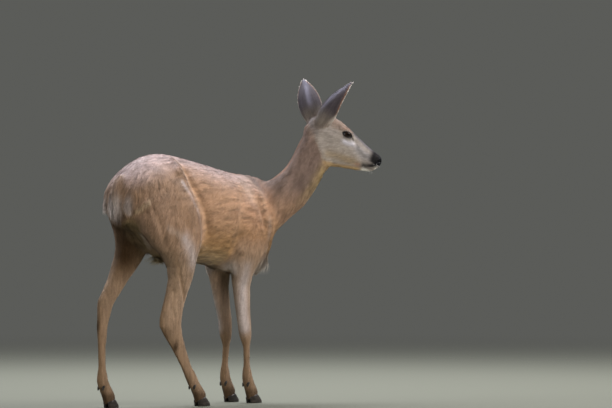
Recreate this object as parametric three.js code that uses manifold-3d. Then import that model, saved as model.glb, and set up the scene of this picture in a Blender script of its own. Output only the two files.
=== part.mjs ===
// A European roe deer doe in her summer coat, life size, standing with one hind leg forward
// and her head turned to her right. Millimetres, +Z up, +X towards her chest, +Y to her left.
// The tables below have their origin on the ground under her chest and loins. At the end it
// moves to the ground under the middle of her outline.
//
// The body is lofted from short tables of stations: the trunk across X, the legs across Z,
// the neck and head across their own axes. The lofts are joined into one body, which thin cuts
// then part into trunk, neck, head, nose and legs. The surface is that of the coat's tips.

import * as THREE from "three";
import { mergeVertices } from "three/addons/utils/BufferGeometryUtils.js";
import Module from "manifold-3d";

const wasm = await Module();
wasm.setup();

// ---------- driving dimensions ----------
const GAP = 0.4; // clearance between neighbouring pieces
const EYE_RADIUS = 13;
const EYE_PLACE = { along: 37.5, up: 28, side: 35 }; // the eyeball's centre, in the head's frame
const EAR_THICKNESS = 3;
const EAR_THINNING = { tip: 0.55, rims: 0.5 }; // the share of the thickness lost there
const HEAD_PLACE = [446, -124, 763]; // origin of the head's frame, between the jaw joints
const HEAD_HEADING = -41; // degrees from +X, negative to her right
const HEAD_PITCH = -28; // degrees, nose down
const CORONET_HEIGHT = 25; // where the hoof meets the hair, at the middle of the foot
const CORONET_SLOPE = 0.42; // the coronet rises this much towards the toe
const CLAW_OFFSET = 8.4; // each claw's middle from the foot's middle line
const CLAW_HALF_WIDTH = 7.6;
const DEWCLAW = [6, 5.5, 10]; // half sizes: across its front, through it and along it
const DEWCLAW_OFFSET = 9;
const DEWCLAW_LEAN = [-0.45, 0.1, -0.88]; // its long axis, for a left one
const BROW = { along: 37, up: 28, side: 30, sizes: [24, 15.5, 18] }; // the mound round each eye

// Cutting planes, each by a point on it and its normal. Those of the legs are for a left leg.
const NECK_CUT = { point: [300, 0, 560], normal: [0.72, -0.24, 0.62] };
const HEAD_CUT = { point: [-20, 0, -38], normal: [0.69, 0, 0.73] }; // in the head's frame
const NOSE_CUT = { point: [149, 0, 11], normal: [0.74, 0, 0.67] }; // in the head's frame
const HAUNCH_CUT = { point: [-200, 0, 440], normal: [0, -0.8, 0.6] };
const FLANK_CUT_RIGHT = { point: [-50, 0, 450], normal: [0.985, 0, 0.17] };
const FLANK_CUT_LEFT = { point: [-76, 0, 450], normal: [0.985, 0, 0.17] };
const SHOULDER_CUT = { point: [200, 0, 386], normal: [0, -0.72, 0.69] };
const ELBOW_CUT = { point: [96, 0, 440], normal: [-0.97, 0, 0.2] };

const TRUNK_SIDES = 22;
const NECK_SIDES = 18;
const HEAD_SIDES = 22;
const LEG_SIDES = 14;
const SMALL_SIDES = 8;
const EAR_COLUMNS = 8;
const EYE_ROWS = 7;
const DEWCLAW_ROWS = 5;

const LEFT = 1;
const RIGHT = -1;

// ---------- stations ----------
// Trunk, from buttocks to chest: the back line, the belly line, the half width and the height
// of the widest point. ridge and keel under 2 make the back and the brisket narrower.
const TRUNK = [
  { x: -329, top: 590, bottom: 562, half: 12, wide: 577, ridge: 2.0, keel: 2.0 },
  { x: -323, top: 606, bottom: 542, half: 30, wide: 580, ridge: 2.0, keel: 2.0 },
  { x: -311, top: 632, bottom: 528, half: 60, wide: 586, ridge: 2.0, keel: 2.0 },
  { x: -288, top: 662, bottom: 520, half: 77, wide: 596, ridge: 2.0, keel: 2.0 },
  { x: -255, top: 690, bottom: 498, half: 89, wide: 604, ridge: 1.9, keel: 2.0 },
  { x: -205, top: 715, bottom: 452, half: 94, wide: 606, ridge: 1.8, keel: 1.8 },
  { x: -150, top: 722, bottom: 424, half: 93, wide: 594, ridge: 1.7, keel: 1.9 },
  { x: -80, top: 714, bottom: 414, half: 91, wide: 570, ridge: 1.7, keel: 2.1 },
  { x: 0, top: 698, bottom: 405, half: 101, wide: 552, ridge: 1.7, keel: 2.2 },
  { x: 80, top: 681, bottom: 393, half: 104, wide: 536, ridge: 1.7, keel: 2.1 },
  { x: 150, top: 668, bottom: 375, half: 94, wide: 522, ridge: 1.6, keel: 1.9 },
  { x: 215, top: 658, bottom: 368, half: 82, wide: 514, ridge: 1.5, keel: 1.7 },
  { x: 265, top: 651, bottom: 380, half: 67, wide: 512, ridge: 1.6, keel: 1.6 },
  { x: 298, top: 640, bottom: 414, half: 49, wide: 516, ridge: 1.8, keel: 1.7 },
  { x: 322, top: 598, bottom: 462, half: 26, wide: 520, ridge: 2.0, keel: 2.0 },
];

// Neck: the axis from inside the chest to inside the skull. nape and throat are the depths to
// either side of the axis, half the half width, turn how far it has turned towards the head.
const NECK = [
  { at: [262, 6, 528], nape: 76, throat: 80, half: 68, turn: 0.0 },
  { at: [321, -26, 577], nape: 68, throat: 68, half: 57, turn: 0.2 },
  { at: [350, -51, 610], nape: 60, throat: 69, half: 48, turn: 0.45 },
  { at: [375, -73, 648], nape: 54.5, throat: 62, half: 40, turn: 0.7 },
  { at: [395, -88, 690], nape: 53, throat: 60, half: 37, turn: 0.9 },
  { at: [413, -100, 731], nape: 54, throat: 60, half: 37, turn: 1.0 },
  { at: [431, -112, 769], nape: 50, throat: 42, half: 35, turn: 1.0 },
  { at: [439, -118, 790], nape: 36, throat: 28, half: 26, turn: 1.0 },
];

// Head: along is the distance from its origin towards the nose.
const HEAD = [
  { along: -79, top: 6, bottom: -14, half: 8, wide: -4, crown: 2.0, jaw: 2.0 },
  { along: -74, top: 18, bottom: -26, half: 18, wide: -4, crown: 2.0, jaw: 2.0 },
  { along: -64, top: 33, bottom: -42, half: 29, wide: -2, crown: 2.0, jaw: 2.0 },
  { along: -42, top: 50, bottom: -64, half: 37, wide: 0, crown: 2.1, jaw: 2.0 },
  { along: -14, top: 58, bottom: -80, half: 42, wide: 4, crown: 2.1, jaw: 1.8 },
  { along: 10, top: 57, bottom: -83, half: 44, wide: 10, crown: 2.3, jaw: 1.7 },
  { along: 34, top: 51, bottom: -77, half: 42.5, wide: 15, crown: 2.6, jaw: 1.6 },
  { along: 56, top: 45, bottom: -69, half: 37, wide: 11, crown: 2.5, jaw: 1.6 },
  { along: 82, top: 38.5, bottom: -60, half: 29, wide: 2, crown: 2.2, jaw: 1.7 },
  { along: 108, top: 31.5, bottom: -51, half: 22.5, wide: -6, crown: 2.0, jaw: 1.9 },
  { along: 130, top: 27, bottom: -42, half: 20, wide: -7, crown: 2.2, jaw: 2.1 },
  { along: 147, top: 24.5, bottom: -34, half: 19, wide: -4, crown: 2.4, jaw: 2.3 },
  { along: 159, top: 21.5, bottom: -26, half: 16.5, wide: -2, crown: 2.4, jaw: 2.4 },
  { along: 166, top: 14, bottom: -14, half: 11, wide: 0, crown: 2.3, jaw: 2.3 },
  { along: 169, top: 7, bottom: -7, half: 6, wide: 0, crown: 2.0, jaw: 2.0 },
];

// An ear is a leaf-shaped shell, rolled into a tube at its root. roll is half its arc, and back
// how far its back lies behind the line from root to tip, as a share of half its width.
const EAR = [
  { t: 0.0, width: 34, roll: 150, back: 0.7 },
  { t: 0.1, width: 44, roll: 138, back: 0.8 },
  { t: 0.2, width: 56, roll: 124, back: 0.85 },
  { t: 0.31, width: 65, roll: 106, back: 0.85 },
  { t: 0.43, width: 69, roll: 90, back: 0.8 },
  { t: 0.56, width: 66, roll: 76, back: 0.75 },
  { t: 0.68, width: 58, roll: 64, back: 0.7 },
  { t: 0.79, width: 45, roll: 54, back: 0.6 },
  { t: 0.88, width: 31, roll: 45, back: 0.54 },
  { t: 0.95, width: 18, roll: 38, back: 0.5 },
  { t: 1.0, width: 5, roll: 30, back: 0.5 },
];
// root, tip and opening, the way the hollow faces, are along the head's own axes.
const EARS = {
  ear_right: { root: [-49, -25, 12], tip: [-23, -42, 166], opening: [0.93, 0.37, 0] },
  ear_left: { root: [-52, 24, 15], tip: [-133, 112, 117], opening: [0.3, 0.95, 0] },
};

// Legs, from the top down to below the coronet: front and back are the outlines along X, outer
// and inner those across, from her middle plane.
const HIND_RIGHT = [
  { z: 682, front: -150, back: -236, outer: 52, inner: 22, square: 2.0 },
  { z: 650, front: -96, back: -268, outer: 80, inner: 14, square: 2.1 },
  { z: 600, front: -64, back: -298, outer: 103, inner: 10, square: 2.4 },
  { z: 550, front: -47, back: -298, outer: 111, inner: 10, square: 2.6 },
  { z: 500, front: -50, back: -276, outer: 112, inner: 16, square: 2.6 },
  { z: 460, front: -57, back: -236, outer: 107, inner: 24, square: 2.5 },
  { z: 432, front: -63, back: -196, outer: 102, inner: 30, square: 2.3 },
  { z: 400, front: -70, back: -170, outer: 94, inner: 36, square: 2.2 },
  { z: 365, front: -78, back: -166, outer: 88, inner: 42, square: 2.15 },
  { z: 325, front: -94, back: -177, outer: 81, inner: 45, square: 2.15 },
  { z: 290, front: -107, back: -190, outer: 77, inner: 47, square: 2.15 },
  { z: 255, front: -114, back: -202, outer: 75, inner: 47, square: 2.15 },
  { z: 232, front: -116, back: -203, outer: 74, inner: 47, square: 2.15 },
  { z: 205, front: -111, back: -184, outer: 72, inner: 48, square: 2.15 },
  { z: 168, front: -95, back: -152, outer: 68, inner: 51, square: 2.15 },
  { z: 115, front: -70, back: -114, outer: 66, inner: 51, square: 2.15 },
  { z: 78, front: -47, back: -90, outer: 69, inner: 48, square: 2.15 },
  { z: 58, front: -31, back: -77, outer: 71, inner: 46, square: 2.15 },
  { z: 38, front: -17, back: -58, outer: 72.5, inner: 43.5, square: 2.3 },
  { z: 12, front: -7, back: -48, outer: 73, inner: 43, square: 2.3 },
];
const HIND_LEFT = [
  { z: 682, front: -150, back: -236, outer: 52, inner: 22, square: 2.0 },
  { z: 650, front: -112, back: -268, outer: 80, inner: 14, square: 2.1 },
  { z: 600, front: -88, back: -298, outer: 97, inner: 10, square: 2.3 },
  { z: 550, front: -80, back: -284, outer: 101, inner: 11, square: 2.5 },
  { z: 500, front: -84, back: -257, outer: 99, inner: 18, square: 2.5 },
  { z: 460, front: -106, back: -250, outer: 95, inner: 26, square: 2.3 },
  { z: 428, front: -142, back: -254, outer: 91, inner: 34, square: 2.2 },
  { z: 395, front: -172, back: -267, outer: 87, inner: 41, square: 2.15 },
  { z: 365, front: -204, back: -283, outer: 81, inner: 44, square: 2.15 },
  { z: 335, front: -231, back: -305, outer: 76, inner: 46, square: 2.15 },
  { z: 308, front: -256, back: -326, outer: 73, inner: 47, square: 2.15 },
  { z: 290, front: -271, back: -330, outer: 73, inner: 47, square: 2.15 },
  { z: 266, front: -281, back: -330, outer: 72, inner: 47, square: 2.15 },
  { z: 230, front: -293, back: -331, outer: 70, inner: 50, square: 2.15 },
  { z: 175, front: -299, back: -330, outer: 67, inner: 52, square: 2.15 },
  { z: 115, front: -300, back: -328, outer: 67, inner: 51, square: 2.15 },
  { z: 80, front: -294, back: -332, outer: 70, inner: 48, square: 2.15 },
  { z: 60, front: -281, back: -327, outer: 72, inner: 46, square: 2.15 },
  { z: 38, front: -269, back: -310, outer: 73.5, inner: 44.5, square: 2.3 },
  { z: 12, front: -259, back: -300, outer: 74, inner: 44, square: 2.3 },
];
const FORE = [
  { z: 634, front: 224, back: 186, outer: 34, inner: 10, square: 2.0 },
  { z: 600, front: 250, back: 152, outer: 62, inner: 8, square: 2.1 },
  { z: 550, front: 268, back: 126, outer: 80, inner: 8, square: 2.3 },
  { z: 500, front: 278, back: 110, outer: 87, inner: 10, square: 2.3 },
  { z: 460, front: 265, back: 104, outer: 87, inner: 14, square: 2.2 },
  { z: 430, front: 244, back: 104, outer: 83, inner: 18, square: 2.15 },
  { z: 400, front: 214, back: 111, outer: 77, inner: 20, square: 2.15 },
  { z: 370, front: 195, back: 120, outer: 69, inner: 22, square: 2.15 },
  { z: 335, front: 188, back: 125, outer: 61, inner: 26, square: 2.15 },
  { z: 280, front: 189, back: 134, outer: 59, inner: 28, square: 2.15 },
  { z: 240, front: 191, back: 144, outer: 58, inner: 28, square: 2.15 },
  { z: 210, front: 191, back: 151, outer: 58.5, inner: 28, square: 2.15 },
  { z: 188, front: 192, back: 157, outer: 57, inner: 30, square: 2.15 },
  { z: 162, front: 190, back: 167, outer: 54, inner: 34, square: 2.15 },
  { z: 105, front: 189, back: 168, outer: 53, inner: 35, square: 2.15 },
  { z: 78, front: 196, back: 165, outer: 56, inner: 32, square: 2.15 },
  { z: 58, front: 207, back: 167, outer: 58, inner: 30, square: 2.15 },
  { z: 38, front: 217, back: 177, outer: 58.5, inner: 29.5, square: 2.3 },
  { z: 12, front: 227, back: 186, outer: 59, inner: 29, square: 2.3 },
];
// The left foreleg's knee is a little further forward than the right one's.
const LEFT_KNEE = { z: 225, spread: 90, forward: 13 };

// Each foot's middle on the ground, and how far it toes out, in degrees.
const FEET = {
  fore_right: { x: 208, y: -44, toe: -4, fetlock: [173, 54] },
  fore_left: { x: 208, y: 44, toe: 4, fetlock: [173, 54] },
  hind_right: { x: -26, y: -58, toe: -6, fetlock: [-68, 55] },
  hind_left: { x: -278, y: 59, toe: 6, fetlock: [-320, 57] },
};

// A claw, from its sole up: heel and toe along the foot, share of its full width.
const CLAW = [
  { z: 0, heel: -21, toe: 25, share: 0.96 },
  { z: 5, heel: -22, toe: 25, share: 1.0 },
  { z: 22, heel: -21, toe: 17, share: 0.96 },
  { z: 42, heel: -18, toe: 6, share: 0.86 },
];

// The small tail, down the middle of the rump.
const TAIL_FLATNESS = 0.8; // its depth as a share of its width
const TAIL = [
  { x: -292, z: 664, half: 10 },
  { x: -308, z: 649, half: 14 },
  { x: -319, z: 630, half: 15 },
  { x: -326, z: 610, half: 13 },
  { x: -328, z: 590, half: 6 },
];

// ---------- solids ----------
const X = new THREE.Vector3(1, 0, 0);
const Y = new THREE.Vector3(0, 1, 0);
const Z = new THREE.Vector3(0, 0, 1);
const radians = THREE.MathUtils.degToRad;

// A geometry as a manifold solid.
function solid(geometry) {
  const bare = new THREE.BufferGeometry();
  bare.setAttribute("position", geometry.getAttribute("position"));
  bare.setIndex(geometry.index);
  const merged = mergeVertices(bare, 1e-4);
  return new wasm.Manifold(
    new wasm.Mesh({
      numProp: 3,
      vertProperties: new Float32Array(merged.attributes.position.array),
      triVerts: new Uint32Array(merged.index.array),
    }),
  );
}

// A manifold solid as a named mesh.
function mesh(name, made, material) {
  const data = made.getMesh();
  const geometry = new THREE.BufferGeometry();
  geometry.setAttribute("position", new THREE.BufferAttribute(data.vertProperties, 3));
  geometry.setIndex(new THREE.BufferAttribute(data.triVerts, 1));
  const found = new THREE.Mesh(geometry, material);
  found.name = name;
  return found;
}

// Joins rings of points into one closed surface, with a flat ladder of faces over each end.
function skinOver(rings) {
  const sides = rings[0].length;
  const faces = [];
  for (let r = 0; r < rings.length - 1; r++)
    for (let k = 0; k < sides; k++) {
      const a = r * sides + k;
      const b = r * sides + ((k + 1) % sides);
      faces.push(a, b, b + sides, a, b + sides, a + sides);
    }
  const last = (rings.length - 1) * sides;
  for (let k = 0; k < sides / 2 - 1; k++) {
    const [a, b, c, d] = [k, k + 1, sides - 2 - k, sides - 1 - k];
    faces.push(a, c, b, a, d, c);
    faces.push(last + a, last + b, last + c, last + a, last + c, last + d);
  }
  const geometry = new THREE.BufferGeometry().setFromPoints(rings.flat());
  geometry.setIndex(faces);
  const made = solid(geometry);
  if (made.volume() > 0) return made;
  geometry.setIndex(faces.reverse());
  return solid(geometry);
}

// One ring of points round `centre`, reaching `half` to either side along `across`, and `up` and
// `down` along `along`. The powers shape it: 2 is an ellipse, more is squarer, less is pointed.
function ring(sides, centre, across, along, { half, up, down, upper = 2, lower = upper }) {
  const power = (value, exponent) => Math.sign(value) * Math.abs(value) ** (2 / exponent);
  return [...Array(sides).keys()].map((k) => {
    const angle = (2 * Math.PI * (k + 0.5)) / sides;
    const [u, v] = [Math.cos(angle), Math.sin(angle)];
    const exponent = v > 0 ? upper : lower;
    return centre
      .clone()
      .addScaledVector(across, power(u, exponent) * half)
      .addScaledVector(along, power(v, exponent) * (v > 0 ? up : down));
  });
}

// Puts one more station halfway between each two, on a smooth curve through them all.
function refined(stations, key) {
  const value = (i, column) => stations[Math.min(Math.max(i, 0), stations.length - 1)][column];
  const slope = (i, column) =>
    (value(i + 1, column) - value(i - 1, column)) / (value(i + 1, key) - value(i - 1, key));
  const halfway = (i, column) => {
    const span = value(i + 1, key) - value(i, key);
    const bend = ((slope(i, column) - slope(i + 1, column)) * span) / 8;
    return (value(i, column) + value(i + 1, column)) / 2 + bend;
  };
  return stations.flatMap((station, i) => {
    if (i === stations.length - 1) return [station];
    const columns = Object.keys(station).map((column) => [column, halfway(i, column)]);
    return [station, Object.fromEntries(columns)];
  });
}

// An ellipsoid of the given half sizes along the given axes.
function ellipsoid(centre, axes, sizes, rows) {
  const ball = new THREE.SphereGeometry(1, Math.round(rows * 1.6), rows);
  const scaled = axes.map((axis, i) => axis.clone().multiplyScalar(sizes[i]));
  const place = new THREE.Matrix4().makeBasis(...scaled).setPosition(centre);
  return solid(ball.applyMatrix4(place));
}

// ---------- cuts ----------
const FAR = 2000;
const plane = (point, normal) => ({
  point: new THREE.Vector3(...point),
  normal: new THREE.Vector3(...normal).normalize(),
});

// Everything on the side of a plane that its normal points away from, and on the other side.
// The offset moves the plane along its normal.
function behind({ point, normal }, offset = 0) {
  const box = new THREE.BoxGeometry(FAR, FAR, FAR).translate(0, 0, -FAR / 2);
  box.applyQuaternion(new THREE.Quaternion().setFromUnitVectors(Z, normal));
  const at = point.clone().addScaledVector(normal, offset);
  return solid(box.translate(at.x, at.y, at.z));
}
const beyond = ({ point, normal }, offset = 0) => behind(plane(point, normal.clone().negate()), -offset);
const within = (planes, offset) => planes.map((p) => behind(p, offset)).reduce((a, b) => a.intersect(b));

// ---------- trunk and tail ----------
// `grow` makes a body a little larger, as a cutter that leaves a gap.
function trunkSolid(grow = 0) {
  const rings = refined(TRUNK, "x").map((s) =>
    ring(TRUNK_SIDES, new THREE.Vector3(s.x, 0, s.wide), Y, Z, {
      half: s.half + grow,
      up: s.top - s.wide + grow,
      down: s.wide - s.bottom + grow,
      upper: s.ridge,
      lower: s.keel,
    }),
  );
  return skinOver(rings);
}

function tailSolid() {
  const rings = TAIL.map((s) =>
    ring(SMALL_SIDES, new THREE.Vector3(s.x, 0, s.z), Y, X, {
      half: s.half,
      up: s.half * TAIL_FLATNESS,
      down: s.half * TAIL_FLATNESS,
    }),
  );
  return skinOver(rings).subtract(trunkSolid(GAP));
}

// ---------- head ----------
// Its own axes: forward to the nose, side to her left, up through the crown.
const [heading, pitch] = [radians(HEAD_HEADING), radians(HEAD_PITCH)];
const forward = new THREE.Vector3(
  Math.cos(heading) * Math.cos(pitch),
  Math.sin(heading) * Math.cos(pitch),
  Math.sin(pitch),
);
const side = new THREE.Vector3(-Math.sin(heading), Math.cos(heading), 0);
const up = new THREE.Vector3().crossVectors(forward, side);
const headAxes = [forward, side, up];
const headVector = (along, across, height) =>
  new THREE.Vector3()
    .addScaledVector(forward, along)
    .addScaledVector(side, across)
    .addScaledVector(up, height);
const headPoint = (...place) => headVector(...place).add(new THREE.Vector3(...HEAD_PLACE));

function headSolid(grow = 0) {
  const rings = HEAD.map((s) =>
    ring(HEAD_SIDES, headPoint(s.along, 0, s.wide), side, up, {
      half: s.half + grow,
      up: s.top - s.wide + grow,
      down: s.wide - s.bottom + grow,
      upper: s.crown,
      lower: s.jaw,
    }),
  );
  return skinOver(rings);
}

const beside = (place, hand) => headPoint(place.along, hand * place.side, place.up);
const eyeball = (hand, grow = 0) =>
  ellipsoid(beside(EYE_PLACE, hand), headAxes, Array(3).fill(EYE_RADIUS + grow), EYE_ROWS);
const brow = (hand) => ellipsoid(beside(BROW, hand), headAxes, BROW.sizes, EYE_ROWS);

function neckSolid(grow = 0) {
  const axis = new THREE.CatmullRomCurve3(NECK.map((s) => new THREE.Vector3(...s.at)));
  const stations = NECK.map(({ at, ...sizes }, number) => ({ number, ...sizes }));
  const rings = refined(stations, "number").map((s) => {
    const t = s.number / (NECK.length - 1);
    const tangent = axis.getTangent(t);
    const across = Y.clone().lerp(side, s.turn);
    across.addScaledVector(tangent, -across.dot(tangent)).normalize();
    const dorsal = new THREE.Vector3().crossVectors(tangent, across);
    return ring(NECK_SIDES, axis.getPoint(t), across, dorsal, {
      half: s.half + grow,
      up: s.nape + grow,
      down: s.throat + grow,
    });
  });
  return skinOver(rings);
}

// ---------- ears ----------
function earSolid({ root, tip, opening }) {
  const base = headPoint(...root);
  const axis = headPoint(...tip).sub(base);
  const length = axis.length();
  axis.normalize();
  const open = headVector(...opening);
  open.addScaledVector(axis, -open.dot(axis)).normalize();
  const across = new THREE.Vector3().crossVectors(axis, open);
  // One row of the shell, round its outside or its inside. It thins to its tip and its rims.
  const row = (s, inside) => {
    const roll = radians(s.roll);
    const radius = s.width / 2 / Math.sin(Math.min(roll, Math.PI / 2));
    const centre = base.clone().addScaledVector(axis, length * s.t);
    centre.addScaledVector(open, radius - (s.width / 2) * s.back);
    return [...Array(EAR_COLUMNS + 1).keys()].map((k) => {
      const share = (2 * k) / EAR_COLUMNS - 1;
      const thinned = (1 - EAR_THINNING.tip * s.t) * (1 - EAR_THINNING.rims * Math.abs(share) ** 3);
      const r = radius - (inside ? EAR_THICKNESS * thinned : 0);
      return centre
        .clone()
        .addScaledVector(across, r * Math.sin(roll * share))
        .addScaledVector(open, -r * Math.cos(roll * share));
    });
  };
  const shell = skinOver(EAR.map((s) => [...row(s, false), ...row(s, true).reverse()]));
  return shell.subtract(headSolid(GAP)).subtract(neckSolid(GAP));
}

// ---------- legs and feet ----------
const leftKnee = (z) => LEFT_KNEE.forward * Math.exp(-(((z - LEFT_KNEE.z) / LEFT_KNEE.spread) ** 2));

function legSolid({ stations, hand, lean = () => 0 }) {
  const rings = stations.map((s) => {
    const centre = new THREE.Vector3((s.front + s.back) / 2, (hand * (s.outer + s.inner)) / 2, s.z);
    centre.x += lean(s.z);
    const across = (s.outer - s.inner) / 2;
    const size = { half: (s.front - s.back) / 2, up: across, down: across, upper: s.square };
    return ring(LEG_SIDES, centre, X, Y, size);
  });
  return skinOver(rings);
}

// A leg is cut off under a slope that rises outwards, at one along the flank or the ribs, and
// on its own side of her middle.
const legCuts = (hand, ...cuts) => [
  ...cuts.map(({ point, normal: [x, y, z] }) => plane(point, [x, hand * y, z])),
  plane([0, hand, 0], [0, -hand, 0]),
];

// The plane between hair and hoof.
function coronet(foot) {
  const toe = X.clone().applyAxisAngle(Z, radians(foot.toe));
  const normal = Z.clone().addScaledVector(toe, -CORONET_SLOPE);
  return plane([foot.x, foot.y, CORONET_HEIGHT], normal);
}

function claw(foot, which) {
  const rings = CLAW.map((s) => {
    const across = CLAW_HALF_WIDTH * s.share;
    const centre = new THREE.Vector3((s.toe + s.heel) / 2, which * CLAW_OFFSET, s.z);
    const size = { half: (s.toe - s.heel) / 2, up: across, down: across };
    return ring(SMALL_SIDES, centre, X, Y, size);
  });
  const turned = new THREE.Matrix4().makeRotationZ(radians(foot.toe)).setPosition(foot.x, foot.y, 0);
  const whole = skinOver(rings.map((points) => points.map((p) => p.applyMatrix4(turned))));
  return whole.intersect(behind(coronet(foot), -GAP));
}

function dewclaw(foot, which, grow = 0) {
  const [x, z] = foot.fetlock;
  const centre = new THREE.Vector3(x, foot.y + which * DEWCLAW_OFFSET, z);
  const [back, out, down] = DEWCLAW_LEAN;
  const lean = new THREE.Vector3(back, which * out, down).normalize();
  const across = new THREE.Vector3().crossVectors(Y, lean).normalize();
  const through = new THREE.Vector3().crossVectors(lean, across);
  return ellipsoid(centre, [across, through, lean], DEWCLAW.map((s) => s + grow), DEWCLAW_ROWS);
}

// ---------- the whole body ----------
const LEGS = {
  foreleg_right: {
    stations: FORE,
    hand: RIGHT,
    cuts: legCuts(RIGHT, SHOULDER_CUT, ELBOW_CUT),
    foot: FEET.fore_right,
  },
  foreleg_left: {
    stations: FORE,
    hand: LEFT,
    lean: leftKnee,
    cuts: legCuts(LEFT, SHOULDER_CUT, ELBOW_CUT),
    foot: FEET.fore_left,
  },
  hindleg_right: {
    stations: HIND_RIGHT,
    hand: RIGHT,
    cuts: legCuts(RIGHT, HAUNCH_CUT, FLANK_CUT_RIGHT),
    foot: FEET.hind_right,
  },
  hindleg_left: {
    stations: HIND_LEFT,
    hand: LEFT,
    cuts: legCuts(LEFT, HAUNCH_CUT, FLANK_CUT_LEFT),
    foot: FEET.hind_left,
  },
};
const neckCut = plane(NECK_CUT.point, NECK_CUT.normal);
const headCut = plane(headPoint(...HEAD_CUT.point), headVector(...HEAD_CUT.normal));
const noseCut = plane(headPoint(...NOSE_CUT.point), headVector(...NOSE_CUT.normal));

let body = trunkSolid().add(neckSolid()).add(headSolid());
for (const leg of Object.values(LEGS)) body = body.add(legSolid(leg));
for (const hand of [LEFT, RIGHT]) body = body.add(brow(hand)).subtract(eyeball(hand, GAP));
for (const foot of Object.values(FEET))
  for (const which of [LEFT, RIGHT]) body = body.subtract(dewclaw(foot, which, GAP));

const material = (color, roughness) => new THREE.MeshStandardMaterial({ color, roughness, metalness: 0 });
const coat = material(0xa67c5a, 0.9);
const earCoat = material(0x7d6a62, 0.9);
const noseSkin = material(0x17130f, 0.35);
const eyeGloss = material(0x0c0908, 0.08);
const horn = material(0x1d1915, 0.45);

const deer = new THREE.Group();
const put = (name, made, finish) => deer.add(mesh(name, made, finish));

// The neck lies beyond the neck cut, the head beyond the head cut and the nose beyond its own.
const half = GAP / 2;
const front = body.intersect(beyond(neckCut, half));
const head = front.intersect(beyond(headCut, half));
put("neck", front.intersect(behind(headCut, -half)), coat);
put("head", head.intersect(behind(noseCut, -half)), coat);
put("nose", head.intersect(beyond(noseCut, half)), noseSkin);
put("eye_right", eyeball(RIGHT), eyeGloss);
put("eye_left", eyeball(LEFT), eyeGloss);
for (const [name, ear] of Object.entries(EARS)) put(name, earSolid(ear), earCoat);

const rear = body.intersect(behind(neckCut, -half));
let trunk = rear;
for (const [name, leg] of Object.entries(LEGS)) {
  put(name, rear.intersect(within(leg.cuts, -half)).intersect(beyond(coronet(leg.foot))), coat);
  trunk = trunk.subtract(within(leg.cuts, half));
}
put("trunk", trunk, coat);
put("tail", tailSolid(), coat);

for (const [name, foot] of Object.entries(FEET))
  for (const [place, which] of [["outer", Math.sign(foot.y)], ["inner", -Math.sign(foot.y)]]) {
    put(`hoof_${name}_${place}`, claw(foot, which), horn);
    put(`dewclaw_${name}_${place}`, dewclaw(foot, which), horn);
  }

// Moves her origin to the ground, under the middle of her outline.
const outline = new THREE.Box3().setFromObject(deer);
const middle = outline.getCenter(new THREE.Vector3());
for (const part of deer.children) part.geometry.translate(-middle.x, -middle.y, -outline.min.z);

export default deer;
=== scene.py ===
"""A European roe deer doe in summer coat: her skin, coat, eyes, hooves, whiskers, light and camera.

Lengths are millimetres in the own frame of the part's source, whose origin is under her chest
and loins, until placed() turns them into this frame's metres."""

import math

import bmesh
import bpy
import numpy as np
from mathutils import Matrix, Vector
from mathutils.bvhtree import BVHTree


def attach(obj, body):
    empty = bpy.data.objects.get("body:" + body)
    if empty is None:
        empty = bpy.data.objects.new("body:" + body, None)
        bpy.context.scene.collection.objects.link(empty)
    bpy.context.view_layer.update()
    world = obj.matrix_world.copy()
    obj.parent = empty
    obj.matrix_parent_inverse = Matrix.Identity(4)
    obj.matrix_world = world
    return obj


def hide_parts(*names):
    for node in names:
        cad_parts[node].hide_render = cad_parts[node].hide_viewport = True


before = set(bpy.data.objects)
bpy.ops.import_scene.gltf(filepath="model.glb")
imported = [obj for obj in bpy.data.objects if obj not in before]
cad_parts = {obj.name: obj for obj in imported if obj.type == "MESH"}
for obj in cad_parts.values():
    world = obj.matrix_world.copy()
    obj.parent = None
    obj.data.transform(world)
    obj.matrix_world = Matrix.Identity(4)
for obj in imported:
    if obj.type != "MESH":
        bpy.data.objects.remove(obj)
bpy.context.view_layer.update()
rng = np.random.default_rng(11)

# ---------- frames ----------
MM = 0.001
ORIGIN = np.array((-115.115, 63.799, 0.0))  # the source's own origin in this frame
LEFT, RIGHT = 1, -1
HEAD_PLACE = np.array((446.0, -124.0, 763.0))
HEAD_HEADING, HEAD_PITCH = math.radians(-41), math.radians(-28)
FORWARD = np.array(
    (
        math.cos(HEAD_HEADING) * math.cos(HEAD_PITCH),
        math.sin(HEAD_HEADING) * math.cos(HEAD_PITCH),
        math.sin(HEAD_PITCH),
    )
)
SIDE = np.array((-math.sin(HEAD_HEADING), math.cos(HEAD_HEADING), 0.0))
UP = np.cross(FORWARD, SIDE)
HEAD_AXES = np.array((FORWARD, SIDE, UP))


def own(points):
    return np.asarray(points, float) / MM - ORIGIN


def placed(points):
    return (np.asarray(points, float) + ORIGIN) * MM


def head_point(along, across, height):
    return HEAD_PLACE + np.array((along, across, height)) @ HEAD_AXES


def in_head(points):
    """Points of the own frame as along, across and height in the head's frame."""
    return (points - HEAD_PLACE) @ HEAD_AXES.T


def on_face(points):
    """The same, with her right side laid on her left."""
    place = in_head(points)
    place[:, 1] = np.abs(place[:, 1])
    return place


# ---------- objects and materials ----------
def new_object(name, data):
    obj = bpy.data.objects.new(name, data)
    bpy.context.scene.collection.objects.link(obj)
    return obj


def principled(name, **values):
    """A material, its node tree and its shader, with plain values on the shader's sockets."""
    material = bpy.data.materials.new(name)
    material.use_nodes = True
    tree = material.node_tree
    shader = tree.nodes["Principled BSDF"]
    for socket, value in values.items():
        shader.inputs[socket.replace("_", " ")].default_value = value
    return material, tree, shader


def add(tree, kind, links=None, **values):
    """A node with plain values and links {socket: output}."""
    node = tree.nodes.new(kind)
    for name, value in values.items():
        if hasattr(node, name):
            setattr(node, name, value)
        else:
            node.inputs[name.replace("_", " ")].default_value = value
    for socket, output in (links or {}).items():
        tree.links.new(output, node.inputs[socket])
    return node


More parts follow.
